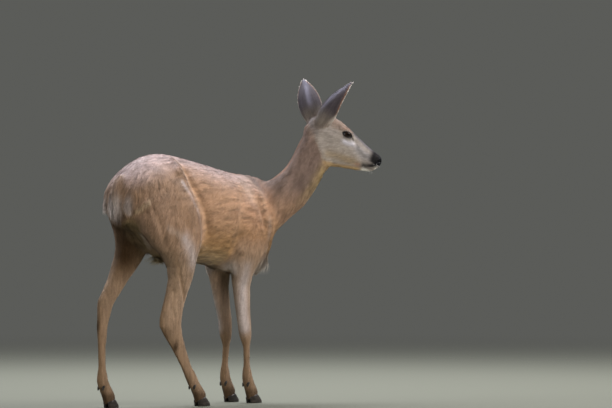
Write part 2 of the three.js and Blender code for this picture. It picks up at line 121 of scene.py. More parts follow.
def mapped(tree, value, **values):
    """A value carried from one range into another."""
    return add(tree, "ShaderNodeMapRange", {"Value": value}, **values).outputs["Result"]


# ---------- camera, floor and lights ----------
AZIMUTH, ELEVATION = math.radians(-48), math.radians(1)
DISTANCE = 18.0  # metres
LENS, SENSOR_WIDTH = 370.6, 36.0
TARGET = placed((216.0, -239.9, 574.3))  # what the camera looks at
HEART = placed((0.0, 0.0, 520.0))  # where the lights are aimed
away = np.array(
    (
        math.sin(AZIMUTH) * math.cos(ELEVATION),
        -math.cos(AZIMUTH) * math.cos(ELEVATION),
        math.sin(ELEVATION),
    )
)


def aim(obj, target):
    obj.rotation_euler = (Vector(target) - obj.location).to_track_quat("-Z", "Y").to_euler()


lens = bpy.data.cameras.new("camera")
lens.sensor_width = SENSOR_WIDTH
lens.lens = LENS
lens.clip_end = 100.0
camera = new_object("camera", lens)
camera.location = Vector(TARGET + away * DISTANCE)
aim(camera, TARGET)
bpy.context.scene.camera = camera

FLOOR_RINGS = (1.0, 2.5, 5.0, 9.0)  # radii in metres
FLOOR_SIDES = 64
FLOOR_FADE = (1.8, 5.5)  # where the floor starts to fade out, and where it is gone
FLOOR_COLOUR = (0.12, 0.122, 0.095, 1)
SKY_COLOUR, SKY_STRENGTH = (0.95, 0.97, 0.90, 1), 0.11


def round_floor():
    """A plain floor all round her, which fades into the background at its edge."""
    points, faces = [], []
    for radius in FLOOR_RINGS:
        for k in range(FLOOR_SIDES):
            angle = 2 * math.pi * k / FLOOR_SIDES
            points.append((radius * math.cos(angle), radius * math.sin(angle), 0.0))
    faces.append(tuple(range(FLOOR_SIDES)))
    for ring in range(len(FLOOR_RINGS) - 1):
        for k in range(FLOOR_SIDES):
            a, b = ring * FLOOR_SIDES + k, ring * FLOOR_SIDES + (k + 1) % FLOOR_SIDES
            faces.append((a, a + FLOOR_SIDES, b + FLOOR_SIDES, b))
    mesh = bpy.data.meshes.new("floor")
    mesh.from_pydata(points, [], faces)
    obj = new_object("floor", mesh)
    material, tree, shader = principled(
        "floor", Base_Color=FLOOR_COLOUR, Roughness=0.95, Specular_IOR_Level=0.1
    )
    where = add(tree, "ShaderNodeTexCoord").outputs["Object"]
    far = add(tree, "ShaderNodeVectorMath", {0: where}, operation="LENGTH")
    start, end = FLOOR_FADE
    fade = mapped(
        tree,
        far.outputs["Value"],
        interpolation_type="SMOOTHSTEP",
        From_Min=start,
        From_Max=end,
        To_Min=1.0,
        To_Max=0.0,
    )
    tree.links.new(fade, shader.inputs["Alpha"])
    mesh.materials.append(material)


def area_light(name, place, size, power, colour):
    """A soft light that faces her and isn't seen itself: its size in metres, power in watts."""
    data = bpy.data.lights.new(name, "AREA")
    data.shape = "RECTANGLE"
    data.size, data.size_y = size
    data.energy = power
    data.color = colour
    light = new_object(name, data)
    light.location = place
    light.visible_camera = False
    aim(light, HEART)
    return light


round_floor()
area_light("key", (2.4, -1.6, 3.0), (2.0, 1.8), 150, (0.98, 0.97, 1.0))
area_light("top", (0.9, 1.5, 3.4), (3.2, 2.0), 370, (0.87, 0.90, 1.0))
area_light("left", (-3.2, 2.0, 2.2), (1.6, 1.6), 60, (0.98, 0.98, 1.0))
soft_fill = area_light("fill", (-0.6, -4.2, 1.3), (2.4, 2.0), 140, (1.0, 0.95, 0.90))
soft_fill.visible_glossy = False  # it lights the coat, and is not mirrored in the eyes
world = bpy.data.worlds.new("studio")
world.use_nodes = True
background = world.node_tree.nodes["Background"]
background.inputs["Color"].default_value = SKY_COLOUR
background.inputs["Strength"].default_value = SKY_STRENGTH
bpy.context.scene.world = world
bpy.context.scene.view_settings.view_transform = "Standard"


# ---------- meshes as arrays ----------
def read_points(mesh):
    co = np.empty(len(mesh.vertices) * 3, np.float32)
    mesh.vertices.foreach_get("co", co)
    return co.reshape(-1, 3).astype(float)


def write_points(mesh, points):
    mesh.vertices.foreach_set("co", points.astype(np.float32).ravel())
    mesh.update()


def read_edges(mesh):
    edges = np.empty(len(mesh.edges) * 2, np.int32)
    mesh.edges.foreach_get("vertices", edges)
    return edges.reshape(-1, 2)


def read_triangles(mesh):
    mesh.calc_loop_triangles()
    triangles = np.empty(len(mesh.loop_triangles) * 3, np.int32)
    mesh.loop_triangles.foreach_get("vertices", triangles)
    return triangles.reshape(-1, 3)


def net(mesh):
    """A mesh's points in the own frame, and its edges."""
    return own(read_points(mesh)), read_edges(mesh)


def add_rows(index, values, count):
    """Sums the rows of values that share an index."""
    columns = [np.bincount(index, values[:, c], count) for c in range(values.shape[1])]
    return np.stack(columns, 1)


def unit(vectors):
    return vectors / np.maximum(np.linalg.norm(vectors, axis=-1, keepdims=True), 1e-9)


def laid(ways, normals):
    """Unit vectors: the ways, laid flat on a surface with these normals."""
    return unit(ways - (ways * normals).sum(1)[:, None] * normals)


def normals_of(points, triangles):
    a, b, c = (points[triangles[:, k]] for k in range(3))
    cross = np.cross(b - a, c - a)
    total = sum(add_rows(triangles[:, k], cross, len(points)) for k in range(3))
    return unit(total)


def diffuse(values, edges, times, share=0.5, weights=None):
    """Moves each row towards the mean of its neighbours, `times` times."""
    count = len(values)
    both = np.concatenate((edges, edges[:, ::-1]))
    w = np.ones(len(both)) if weights is None else weights
    total = np.maximum(np.bincount(both[:, 0], w, count), 1e-9)[:, None]
    for _ in range(times):
        mean = add_rows(both[:, 0], values[both[:, 1]] * w[:, None], count) / total
        values = values + share * (mean - values)
    return values


def smoothstep(low, high, value):
    t = np.clip((value - low) / (high - low), 0, 1)
    return t * t * (3 - 2 * t)


def to_line(points, line):
    """Distance from each point to a polyline."""
    line = np.asarray(line, float)
    best = np.full(len(points), 1e9)
    for a, b in zip(line, line[1:]):
        d = b - a
        t = np.clip(((points - a) @ d) / max(d @ d, 1e-9), 0, 1)
        best = np.minimum(best, np.linalg.norm(points - a - t[:, None] * d, axis=1))
    return best


MIRROR = np.array((1, -1, 1))  # to her other side


def stroke(points, line, width, both=False):
    """1 on a polyline, falling to 0 across `width`; with both, also on its mirror image."""
    distance = to_line(points, line)
    if both:
        distance = np.minimum(distance, to_line(points, np.asarray(line, float) * MIRROR))
    return np.exp(-((distance / width) ** 2))


def spot(points, centre, sizes, both=False):
    """1 at a centre, falling to 0 across `sizes`; with both, also at its mirror image."""
    centre = np.asarray(centre, float)
    centres = (centre, centre * MIRROR) if both else (centre,)
    return np.max([np.exp(-(((points - c) / sizes) ** 2).sum(1)) for c in centres], axis=0)


def modified(obj):
    """The mesh of an object with its modifiers applied."""
    graph = bpy.context.evaluated_depsgraph_get()
    return bpy.data.meshes.new_from_object(obj.evaluated_get(graph))


def copied(nodes, grow=0.0):
    """The joined meshes of some CAD nodes, welded, and grown a little along their normals."""
    bm = bmesh.new()
    for node in nodes:
        bm.from_mesh(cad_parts[node].data)
    bmesh.ops.remove_doubles(bm, verts=bm.verts, dist=0.02 * MM)
    if grow:
        bm.normal_update()
        moves = [v.normal * grow * MM for v in bm.verts]
        for vertex, move in zip(bm.verts, moves):
            vertex.co += move
    mesh = bpy.data.meshes.new("copy")
    bm.to_mesh(mesh)
    bm.free()
    return mesh


def remeshed(mesh, voxel):
    obj = new_object("temporary", mesh)
    modifier = obj.modifiers.new("voxels", "REMESH")
    modifier.mode = "VOXEL"
    modifier.voxel_size = voxel * MM
    made = modified(obj)
    bpy.data.objects.remove(obj)
    return made


# ---------- regions ----------
REGIONS = {
    "trunk": ("trunk",),
    "neck": ("neck",),
    "head": ("head", "nose", "eye_left", "eye_right"),
    "tail": ("tail",),
    "fore": ("foreleg_left", "foreleg_right"),
    "hind": ("hindleg_left", "hindleg_right"),
    "ear_left": ("ear_left",),
    "ear_right": ("ear_right",),
}


def tree_of(groups):
    """A tree of the faces of groups of CAD nodes, and each face's group number."""
    points, faces, group = [], [], []
    for number, nodes in enumerate(groups):
        for node in nodes:
            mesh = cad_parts[node].data
            triangles = read_triangles(mesh) + len(points)
            points.extend(own(read_points(mesh)).tolist())
            faces.extend(triangles.tolist())
            group.extend([number] * len(triangles))
    return BVHTree.FromPolygons(points, faces), np.array(group)


TREE, FACE_REGION = tree_of(REGIONS.values())
HEAD_TREE = tree_of([("head", "neck")])[0]


def shares(points, edges, times):
    """How much each point belongs to each region, blended across their borders."""
    nearest = [TREE.find_nearest(point)[2] for point in points.tolist()]
    label = FACE_REGION[np.array(nearest)]
    found = diffuse(np.eye(len(REGIONS))[label], edges, times)
    return {name: found[:, k] for k, name in enumerate(REGIONS)}


# ---------- skin ----------
BODY_VOXEL = 4.7
FOOT_TOP = 0.045  # metres; of what faces down, only the feet lie lower
FOOT_DROP = 3 * MM  # how far the feet are let down into the hooves
HEAD_REACH = 200  # her head lies within this of its place
FLESH = (
    *("trunk", "neck", "head", "nose", "eye_left", "eye_right"),
    *("foreleg_left", "foreleg_right", "hindleg_left", "hindleg_right", "tail"),
)
EYE_RADIUS = 13.0
EYES = {hand: head_point(37.5, hand * 35, 28) for hand in (LEFT, RIGHT)}
# The lids' opening: its long axis in the head's frame, half its length and half its height.
LID_AXIS = (0.985, 0.0, 0.17)
LID_LENGTH, LID_HEIGHT = 12.5, 6.2
TEAR_DEPTH = 2.2
TEAR_LINE = [(14.5, -2.0), (20.0, -5.0), (25.0, -9.0)]  # from the front corner, along and up


def eye_axes(hand):
    """The eye's own axes: along the opening towards the nose, upwards, and outwards."""
    outward = unit(np.array((0.16, hand * 1.0, 0.10)) @ HEAD_AXES)
    along = np.array(LID_AXIS) @ HEAD_AXES
    along = unit(along - (along @ outward) * outward)
    upward = np.cross(along, outward) * hand
    return along, upward, outward


def in_eye(points, hand):
    """Points in the eye's own axes: along, up and out from its centre."""
    return [(points - EYES[hand]) @ axis for axis in eye_axes(hand)]


def almond(a, b):
    """Height over the opening's middle line, which sinks towards the front corner."""
    return b + 1.2 * (a / LID_LENGTH) ** 3


def tear_line(points, hand):
    """1 on the line before the eye's front corner, falling to 0."""
    a, b, o = in_eye(points, hand)
    return stroke(np.stack((a, b), 1), TEAR_LINE, 2.0) * (o > -12)


def refine(bm, near):
    """Divides the faces whose centres pass a test."""
    centres = own(np.array([face.calc_center_median() for face in bm.faces]))
    chosen = near(centres)
    edges = {edge for face, take in zip(bm.faces, chosen) if take for edge in face.edges}
    bmesh.ops.subdivide_edges(bm, edges=list(edges), cuts=1, use_grid_fill=True)


def smoothed(points, edges, amount):
    """Smooths each point by its own number of rounds."""
    steps = [0, 2, 4, 8, 16, 30, 48]
    layers = [points]
    for a, b in zip(steps, steps[1:]):
        layers.append(diffuse(layers[-1], edges, b - a))
    result = np.zeros_like(points)
    for k, layer in enumerate(layers):
        below = steps[k - 1] if k else -1
        above = steps[k + 1] if k + 1 < len(steps) else 1e9
        rise = np.clip((amount - below) / (steps[k] - below), 0, 1)
        fall = np.clip((above - amount) / (above - steps[k]), 0, 1)
        result += layer * np.minimum(rise, fall)[:, None]
    return result


def rough_skin():
    """The flesh as one surface, rounded: strongly on the trunk, little on head and legs."""
    mesh = copied(FLESH, 0.5)
    points = read_points(mesh)
    normal = np.array([v.normal for v in mesh.vertices])
    sole = (points[:, 2] < FOOT_TOP) & (normal[:, 2] < -0.3)
    points[sole, 2] -= FOOT_DROP
    write_points(mesh, points)
    mesh = remeshed(mesh, BODY_VOXEL)
    points, edges = net(mesh)
    part = shares(points, edges, 10)
    thigh = smoothstep(390, 520, points[:, 2])
    legs = part["fore"] + part["hind"]
    amount = 40 * part["trunk"] + 22 * part["neck"] + 3 * part["head"] + 8 * part["tail"]
    amount = amount + legs * (2.5 + 26 * thigh) + 90 * part["head"] * part["neck"]
    write_points(mesh, placed(smoothed(points, edges, amount)))
    return mesh


def fine_skin(mesh):
    """Divides the faces of the head, and further round the eyes, nose and mouth."""
    bm = bmesh.new()
    bm.from_mesh(mesh)
    ahead = lambda p: (p - HEAD_PLACE) @ FORWARD
    level = lambda p: (p - HEAD_PLACE) @ UP
    near_eye = lambda p, reach: np.minimum(
        *(np.linalg.norm(p - EYES[hand], axis=1) for hand in (LEFT, RIGHT))
    ) < reach
    close = lambda p: np.linalg.norm(p - HEAD_PLACE, axis=1) < HEAD_REACH
    refine(bm, lambda p: close(p) & (ahead(p) > -40) & (level(p) > -90))
    refine(bm, lambda p: near_eye(p, 26) | (close(p) & (ahead(p) > 112)))
    refine(bm, lambda p: near_eye(p, 19))
    bmesh.ops.triangulate(bm, faces=[f for f in bm.faces if len(f.verts) > 4])
    bm.to_mesh(mesh)
    bm.free()
    points, edges = net(mesh)
    head = smoothstep(-70, -40, ahead(points)) * close(points)
    even = diffuse(points, edges, 7)
    write_points(mesh, placed(points + (even - points) * head[:, None]))


FOLD_RIGHT = [(-132, -50, 690), (-136, -79, 635), (-116, -90, 598)]
FOLD_RIGHT += [(-98, -95, 558), (-82, -90, 514), (-66, -78, 462)]
FOLD_LEFT = [(-149, 50, 690), (-156, 79, 635), (-140, 88, 598)]
FOLD_LEFT += [(-122, 92, 558), (-110, 88, 514), (-98, 76, 462)]
# Forms under the skin: line, half width, height, and the side that has it (0 for both).
BODY_FORMS = [
    # fold in front of the haunch, and the hollow of the flank before it
    (FOLD_RIGHT, 30, 6.0, RIGHT),
    ([(-86, -66, 668), (-80, -82, 625), (-58, -88, 585), (-40, -92, 540), (-27, -88, 490)], 15, -6.0, RIGHT),
    (FOLD_LEFT, 30, 6.0, LEFT),
    ([(-106, 66, 668), (-102, 82, 625), (-82, 88, 585), (-64, 92, 540), (-51, 88, 490)], 15, -6.0, LEFT),
    # point of the hip, point of the buttock and the hollow under it
    ([(-122, -58, 676), (-128, -60, 672)], 17, 4.0, 0),
    ([(-303, -62, 566), (-297, -72, 577), (-280, -88, 587)], 9, 4.0, 0),
    ([(-300, -70, 549), (-284, -84, 556)], 11, -4.5, 0),
    # the two muscles of the thigh and the groove between them
    ([(-262, -92, 566), (-236, -104, 512), (-210, -98, 452)], 12, -3.0, 0),
    ([(-176, -112, 520), (-170, -106, 458), (-160, -86, 396)], 15, 3.0, RIGHT),
    ([(-138, -110, 520), (-132, -98, 440)], 13, -2.5, RIGHT),
    # shoulder blade, point of the shoulder and upper arm
    ([(196, -34, 652), (232, -62, 600), (262, -74, 545), (272, -70, 500)], 28, 1.8, 0),
    ([(172, -90, 548), (158, -92, 500)], 34, 5.0, 0),
    ([(148, -78, 618), (116, -98, 556), (96, -99, 500), (93, -86, 452)], 19, -4.0, 0),
    ([(205, -86, 560), (222, -84, 505)], 12, -3.0, 0),
    ([(106, -84, 446), (128, -80, 440)], 12, 3.0, 0),
    # the neck's lower muscle and the groove over it
    ([(280, -66, 560), (318, -92, 610), (352, -116, 660), (374, -128, 710)], 13, -2.5, RIGHT),
    ([(300, -60, 520), (340, -92, 575), (366, -112, 620)], 16, 2.5, RIGHT),
    # withers
    ([(214, 0, 662), (268, 0, 668), (300, -6, 690)], 24, 3.0, 0),
    ([(60, 0, 690), (-40, 0, 712), (-160, 0, 735)], 22, 1.6, 0),
    # knees, fetlocks and pasterns
    ([(182, -44, 222), (178, -44, 200)], 20, 2.0, 0),
    ([(180, -44, 166), (178, -44, 120)], 22, -1.2, 0),
    ([(180, -44, 92), (184, -44, 80)], 19, 1.8, 0),
    ([(190, -44, 64), (196, -44, 58)], 15, -1.5, 0),
    ([(-108, -59, 146), (-90, -59, 116)], 22, -1.2, RIGHT),
    ([(-68, -59, 88), (-62, -59, 78)], 18, 1.8, RIGHT),
    ([(-52, -59, 62), (-46, -59, 56)], 15, -1.5, RIGHT),
    ([(-315, 59, 170), (-314, 59, 120)], 22, -1.2, LEFT),
    ([(-314, 60, 92), (-310, 60, 80)], 18, 1.8, LEFT),
    ([(-304, 60, 64), (-298, 60, 58)], 15, -1.5, LEFT),
    # tendon grooves of the gaskin and the hollow over the point of the hock
    ([(-158, -92, 414), (-144, -88, 372), (-128, -82, 330), (-118, -78, 300)], 6, -2.6, RIGHT),
    ([(-160, -74, 262), (-170, -72, 290), (-160, -76, 330)], 7, -2.4, RIGHT),
    ([(-212, 88, 400), (-236, 80, 360), (-262, 74, 330)], 6, -2.4, LEFT),
    ([(-300, 72, 296), (-290, 74, 320), (-266, 78, 350)], 7, -2.2, LEFT),
    # the breastbone's ridge
    ([(318, 0, 520), (296, 0, 440), (262, 0, 392)], 14, 2.5, 0),
]
# The same for the head, in its own axes and on both sides.
HEAD_FORMS = [
    # brow, cheek bone, temple, the hollow before the eye
    ([(16, 38, 38), (28, 40, 46), (46, 39, 45), (58, 34, 36)], 6, 2.2),
    ([(66, 32, 14), (48, 40, 8), (20, 44, 6), (-8, 42, 6), (-34, 36, 8)], 6, 1.6),
    ([(-12, 36, 34), (2, 37, 36)], 13, -2.4),
    ([(66, 29, 22), (78, 26, 14)], 8, -2.2),
    # jaw muscle, its front edge, the jaw's lower edge
    ([(4, 40, -26), (18, 38, -44)], 22, 2.0),
    ([(50, 34, -18), (46, 30, -44), (38, 24, -64)], 6, -1.6),
    ([(-20, 26, -66), (10, 24, -77), (50, 18, -69), (90, 12, -55), (130, 9, -42)], 6, 1.2),
    # cheek teeth's ridge, hollow of the muzzle, edges of the bridge
    ([(62, 33, -2), (86, 27, -14), (104, 23, -20)], 7, 1.2),
    ([(88, 25, 4), (112, 21, -4)], 8, -2.0),
    ([(58, 17, 39), (100, 12, 31), (140, 9, 25)], 5, 0.9),
    # upper lip, chin, corner of the mouth, mouth
    ([(120, 19, -12), (142, 18, -12), (158, 11, -10)], 6, 1.3),
    ([(148, 0, -32), (140, 5, -36)], 9, 1.2),
    ([(167, 0, -14), (162, 9, -15.5), (150, 16.5, -20), (136, 20, -25), (122, 21, -29)], 1.7, -2.8),
    # groove under the nose, nose pad, nostril and its rim
    ([(170, 0, 2), (168, 0, -12)], 1.6, -1.6),
    ([(156, 8, 18), (165, 7, 4)], 9, 1.4),
    ([(160, 15.5, 13), (157, 17.5, 8), (153, 17, 3)], 3.2, 1.3),
    ([(166, 8, 7), (164, 12, 8), (160, 14, 5), (156.5, 15, 4)], 2.7, -5.0),
]


def body_forms(points):
    height = np.zeros(len(points))
    for line, width, rise, hand in BODY_FORMS:
        height += rise * stroke(points, line, width, both=not hand)
    return height


def head_forms(points):
    place, height = on_face(points), np.zeros(len(points))
    for line, width, rise in HEAD_FORMS:
        height += rise * stroke(place, line, width)
    return height


def shape_lids(points):
    """Lays the lids on the eyeballs and opens them."""
    inside = EYE_RADIUS - 3.0
    on_ball = EYE_RADIUS + 1.5
    for hand, centre in EYES.items():
        a, b, o = in_eye(points, hand)
        ray = points - centre
        reach = np.linalg.norm(ray, axis=1)
        # the opening's edge is an almond with a fuller upper lid
        b = almond(a, b)
        lid = np.where(b > 0, LID_HEIGHT, LID_HEIGHT * 0.82)
        edge = np.sqrt((a / LID_LENGTH) ** 2 + (b / lid) ** 2)
        edge = edge + 0.16 * np.abs(a / LID_LENGTH) ** 4 * np.minimum(np.abs(b) / 4, 1)
        opened = smoothstep(0.93, 1.05, edge)
        resting = smoothstep(1.05, 1.75, edge)
        margin = 0.9 * np.exp(-(((edge - 1.16) / 0.10) ** 2))
        fold = -1.3 * np.exp(-(((edge - 1.62) / 0.14) ** 2)) * (b > -2)
        wanted = inside + (on_ball + margin - inside) * opened
        wanted = wanted + (np.maximum(reach, on_ball) + fold - wanted) * resting
        near = smoothstep(2, 5, o) * (1 - smoothstep(1.9, 2.3, edge))
        scale = 1 + (wanted / np.maximum(reach, 1) - 1) * near
        points = centre + ray * scale[:, None]
        # the tear pit before the front corner
        points = points - eye_axes(hand)[2] * (TEAR_DEPTH * tear_line(points, hand))[:, None]
    return points


def finish_skin(mesh):
    """Draws the skin in by the coat's depth and shapes what lies under it."""
    points, edges = net(mesh)
    triangles = read_triangles(mesh)
    part = shares(points, edges, 12)
    high = smoothstep(380, 480, points[:, 2])
    legs = part["fore"] + part["hind"]
    depth = 3.4 * part["trunk"] + 3.0 * part["neck"] + 1.1 * part["head"] + 3.0 * part["tail"]
    depth = depth + legs * (0.4 + 2.6 * high)
    normal = normals_of(points, triangles)
    normal = unit(diffuse(normal, edges, 3))
    head = part["head"]
    height = body_forms(points) * (1 - head) + head_forms(points) * head
    points = points + normal * (height - depth)[:, None]
    points = shape_lids(points)
    write_points(mesh, placed(points))


def ear(name):
    """An ear's skin: the CAD ear, rounded, with its root reaching into the head."""
    bm = bmesh.new()
    bm.from_mesh(copied((name,)))
    bmesh.ops.join_triangles(
        bm, faces=bm.faces, angle_face_threshold=0.6, angle_shape_threshold=0.6
    )
    mesh = bpy.data.meshes.new(name)
    bm.to_mesh(mesh)
    bm.free()
    obj = new_object(name, mesh)
    obj.modifiers.new("rounding", "SUBSURF").levels = 2
    mesh = modified(obj)
    bpy.data.objects.remove(obj)
    points = own(read_points(mesh))
    place = in_head(points)
    distance = np.array([HEAD_TREE.find_nearest(p)[3] for p in points.tolist()])
    root = 1 - smoothstep(0, 14, distance)
    hand = LEFT if name.endswith("left") else RIGHT
    inward = np.array((0.0, -hand * 0.35, -1.0)) @ HEAD_AXES
    points = points + inward * (9 * root * (place[:, 2] < 75))[:, None]
    write_points(mesh, placed(points))
    return mesh


def soften_roots(mesh):
    """Rounds the crease where the ears' roots meet the head."""
    points, edges = net(mesh)
    part = shares(points, edges, 4)
    ears = part["ear_left"] + part["ear_right"]
    crease = smoothstep(0.02, 0.25, ears) * smoothstep(0.98, 0.75, ears)
    crease = np.clip(diffuse(crease[:, None], edges, 3)[:, 0] * 1.6, 0, 1)
    even = diffuse(points, edges, 14)
    write_points(mesh, placed(points + (even - points) * crease[:, None]))


def skin_with_ears():
    mesh = rough_skin()
    fine_skin(mesh)
    finish_skin(mesh)
    body = new_object("skin", mesh)
    for name in ("ear_left", "ear_right"):
        tool = new_object("tool", ear(name))
        modifier = body.modifiers.new("union", "BOOLEAN")
        modifier.operation = "UNION"
        modifier.solver = "EXACT"
        modifier.object = tool
        made = modified(body)
        body.modifiers.clear()
        body.data = made
        bpy.data.objects.remove(tool)
    body.data.name = "skin"
    soften_roots(body.data)
    return body


skin = skin_with_ears()


# ---------- what the coat is like, place by place ----------
# Colours, linear.
TAN = (0.37, 0.222, 0.132)
GREY_TAN = (0.36, 0.265, 0.21)
RED_TAN = (0.40, 0.205, 0.115)
BELLY = (0.34, 0.235, 0.125)
PALE = (0.50, 0.42, 0.36)
# lavender painted highlight, for the light on the haunch folds, the thigh's front edge and the forelegs'
# back edge
LILAC_HIGHLIGHT = (0.60, 0.54, 0.54)
CREAM = (0.66, 0.60, 0.58)
SAND = (0.52, 0.40, 0.26)
YELLOW = (0.44, 0.37, 0.21)
DARK = (0.040, 0.021, 0.009)
UMBER = (0.17, 0.095, 0.04)
NECK_GREY = (0.16, 0.128, 0.122)
THROAT = (0.42, 0.30, 0.13)
LEG = (0.30, 0.205, 0.135)
# painted highlight for the legs' forward faces
LEG_HIGHLIGHT = (0.43, 0.35, 0.28)
FACE = (0.38, 0.335, 0.30)
FOREHEAD = (0.255, 0.178, 0.132)
BRIDGE = (0.075, 0.072, 0.088)
EYE_PATCH = (0.70, 0.68, 0.76)
RUST = (0.33, 0.16, 0.085)
JAW = (0.42, 0.27, 0.11)
OLIVE = (0.32, 0.245, 0.16)
WHITE = (0.80, 0.77, 0.72)
BLACK = (0.006, 0.006, 0.008)
# painted shade for the lower flank, darker and more golden
GOLDEN_SHADE = (0.29, 0.165, 0.06)
EAR_ROOT = (0.24, 0.205, 0.17)
MUZZLE = (0.19, 0.18, 0.185)
# painted sheen for the top of the back
CREST_SHEEN = (0.47, 0.365, 0.355)
EAR_BACK = (0.072, 0.061, 0.068)
# painted sheen for the middle ridge of the ear's back
EAR_RIDGE_SHEEN = (0.19, 0.18, 0.225)
EAR_INSIDE = (0.50, 0.40, 0.34)
NAPE_SIDE = np.array((-0.63, 0.44, 0.64))  # the way the nape faces
EAR_ENDS = {
    "ear_right": ((-49, -25, 12), (-23, -42, 166), (0.93, 0.37, 0)),
    "ear_left": ((-52, 24, 15), (-133, 112, 117), (0.3, 0.95, 0)),
}
# Tufts over the glands of the hind legs: centre and sizes.
GLANDS = [
    ((-143, -68, 176), (9, 9, 15)),
    ((-188, -74, 214), (8, 8, 13)),
    ((-330, 66, 238), (9, 9, 18)),
]
GROIN = (-140, 0, 420)
# Where the hair is longer: line, half width, extra length, extra rise, and whether on both sides.
LONG_HAIR = [
    ([(326, 0, 470), (300, 0, 408), (262, 0, 382), (200, 0, 366)], 22, 12, 0.10, False),
    ([(276, -30, 420), (250, -44, 386), (218, -48, 346)], 15, 17, 0.45, True),
    ([(200, 0, 368), (0, 0, 405), (-140, 0, 424)], 28, 6, 0.05, False),
    ([(-318, 0, 556), (-300, 0, 520)], 22, 12, 0.0, False),
    ([(-252, -24, 499), (-234, -22, 481), (-204, -18, 455)], 6, 6, 0.15, True),
    ([(-56, -82, 470), (-38, -78, 456), (-14, -74, 450)], 7, 9, 0.15, True),
    ([(-302, -66, 566), (-284, -82, 584), (-268, -92, 594)], 5, 5, 0.15, True),
    ([(106, -40, 404), (112, -56, 392)], 16, 9, 0.20, True),
]


def ear_frame(name):
    root, tip, opening = EAR_ENDS[name]
    base, top = head_point(*root), head_point(*tip)
    axis = unit(top - base)
    opened = np.array(opening) @ HEAD_AXES
    opened = unit(opened - (opened @ axis) * axis)
    return base, axis, np.linalg.norm(top - base), opened, np.cross(axis, opened)


def ear_place(name, points):
    """Share of the way from root to tip, and the place across and out of the hollow."""
    base, axis, length, opened, across = ear_frame(name)
    away_from = points - base
    return away_from @ axis / length, away_from @ across, away_from @ opened


def ear_rims(name, points, mine):
    """Distances to an ear's two rims."""
    t, a, o = ear_place(name, points)
    found = []
    for hand in (LEFT, RIGHT):
        line = []
        for step in np.linspace(0.16, 0.97, 16):
            here = (mine > 0.5) & (np.abs(t - step) < 0.035) & (a * hand > -1)
            line.append(points[here][np.argmax(0.6 * o[here] + a[here] * hand)])
        found.append(to_line(points, line))
    return found


def mixed(values, mask, wanted):
    """Rows of values moved towards one wanted row by a mask."""
    return values + mask[:, None] * (np.array(wanted) - values)


def layered(colour, layers):
    """The colours moved towards each layer's tint in turn, by its mask times its share."""
    for mask, tint, share in layers:
        colour = mixed(colour, np.clip(mask * share, 0, 1), tint)
    return colour


def lie_of_coat(points, normals, edges, part):
    """The way the hair lies at each point: back along the trunk, down the limbs."""
    x, y, z = points.T
    place = in_head(points)
    top = normals[:, 2]
    tail_way = np.array((-0.25, 0.0, -1.0))
    trunk_way = np.array((-1.0, 0, -0.12)) + smoothstep(0.9, 0.2, top)[:, None] * np.array((0, 0, -0.3))
    haunch = smoothstep(-60, -200, x) * smoothstep(0.95, 0.5, top)
    for share, way in (
        (haunch, (-0.62, 0, -0.8)),
        (smoothstep(-240, -300, x), (-0.25, 0, -1.0)),  # rump
        (smoothstep(250, 300, x), (-0.35, 0, -0.95)),  # chest
    ):
        trunk_way = mixed(trunk_way, share, way)
    nape = (normals @ NAPE_SIDE)[:, None]
    neck_way = unit(np.array((-0.50, 0.33, -0.80))) + nape * 0.12 * NAPE_SIDE
    cheek = (smoothstep(30, 0, place[:, 2]) * smoothstep(150, 60, place[:, 0]))[:, None]
    head_way = -FORWARD - 0.45 * cheek * UP
    thigh = smoothstep(380, 560, z)[:, None]
    leg_way = np.array((-0.16, 0, -1.0)) + thigh * np.array((-0.4, 0, 0))
    legs = (part["fore"] + part["hind"])[:, None]
    flow = part["trunk"][:, None] * trunk_way + part["neck"][:, None] * neck_way
    flow = flow + part["head"][:, None] * head_way + part["tail"][:, None] * tail_way + legs * leg_way
    for name in EAR_ENDS:
        flow = flow + part[name][:, None] * ear_frame(name)[1]
    flow = unit(diffuse(unit(flow), edges, 5))
    flow = laid(flow, normals)
    # gentle waves, strongest on the trunk
    waves = diffuse(rng.normal(size=(len(points), 1)), edges, 14)[:, 0]
    turn = np.clip(waves / waves.std(), -2, 2) * (0.06 + 0.10 * part["trunk"])
    return unit(flow + turn[:, None] * np.cross(normals, flow))


def streaks_in_coat(points, edges, flow):
    """Noise drawn out along the lie of the coat, and broad soft patches."""
    noise = rng.normal(size=(len(points), 1))
    both = np.concatenate((edges, edges[:, ::-1]))
    ways = unit(points[both[:, 1]] - points[both[:, 0]])
    along = np.abs((ways * flow[both[:, 0]]).sum(1)) ** 6 + 0.002
    streaks = diffuse(noise, edges, 9, 0.8, along)[:, 0]
    patches = diffuse(rng.normal(size=(len(points), 1)), edges, 60)[:, 0]
    return np.clip(streaks / streaks.std(), -2.2, 2.2), np.clip(patches / patches.std(), -2, 2)


FOLD_LIGHT = [(-128, -79, 640), (-108, -90, 598), (-88, -95, 558), (-72, -90, 505), (-62, -80, 470)]
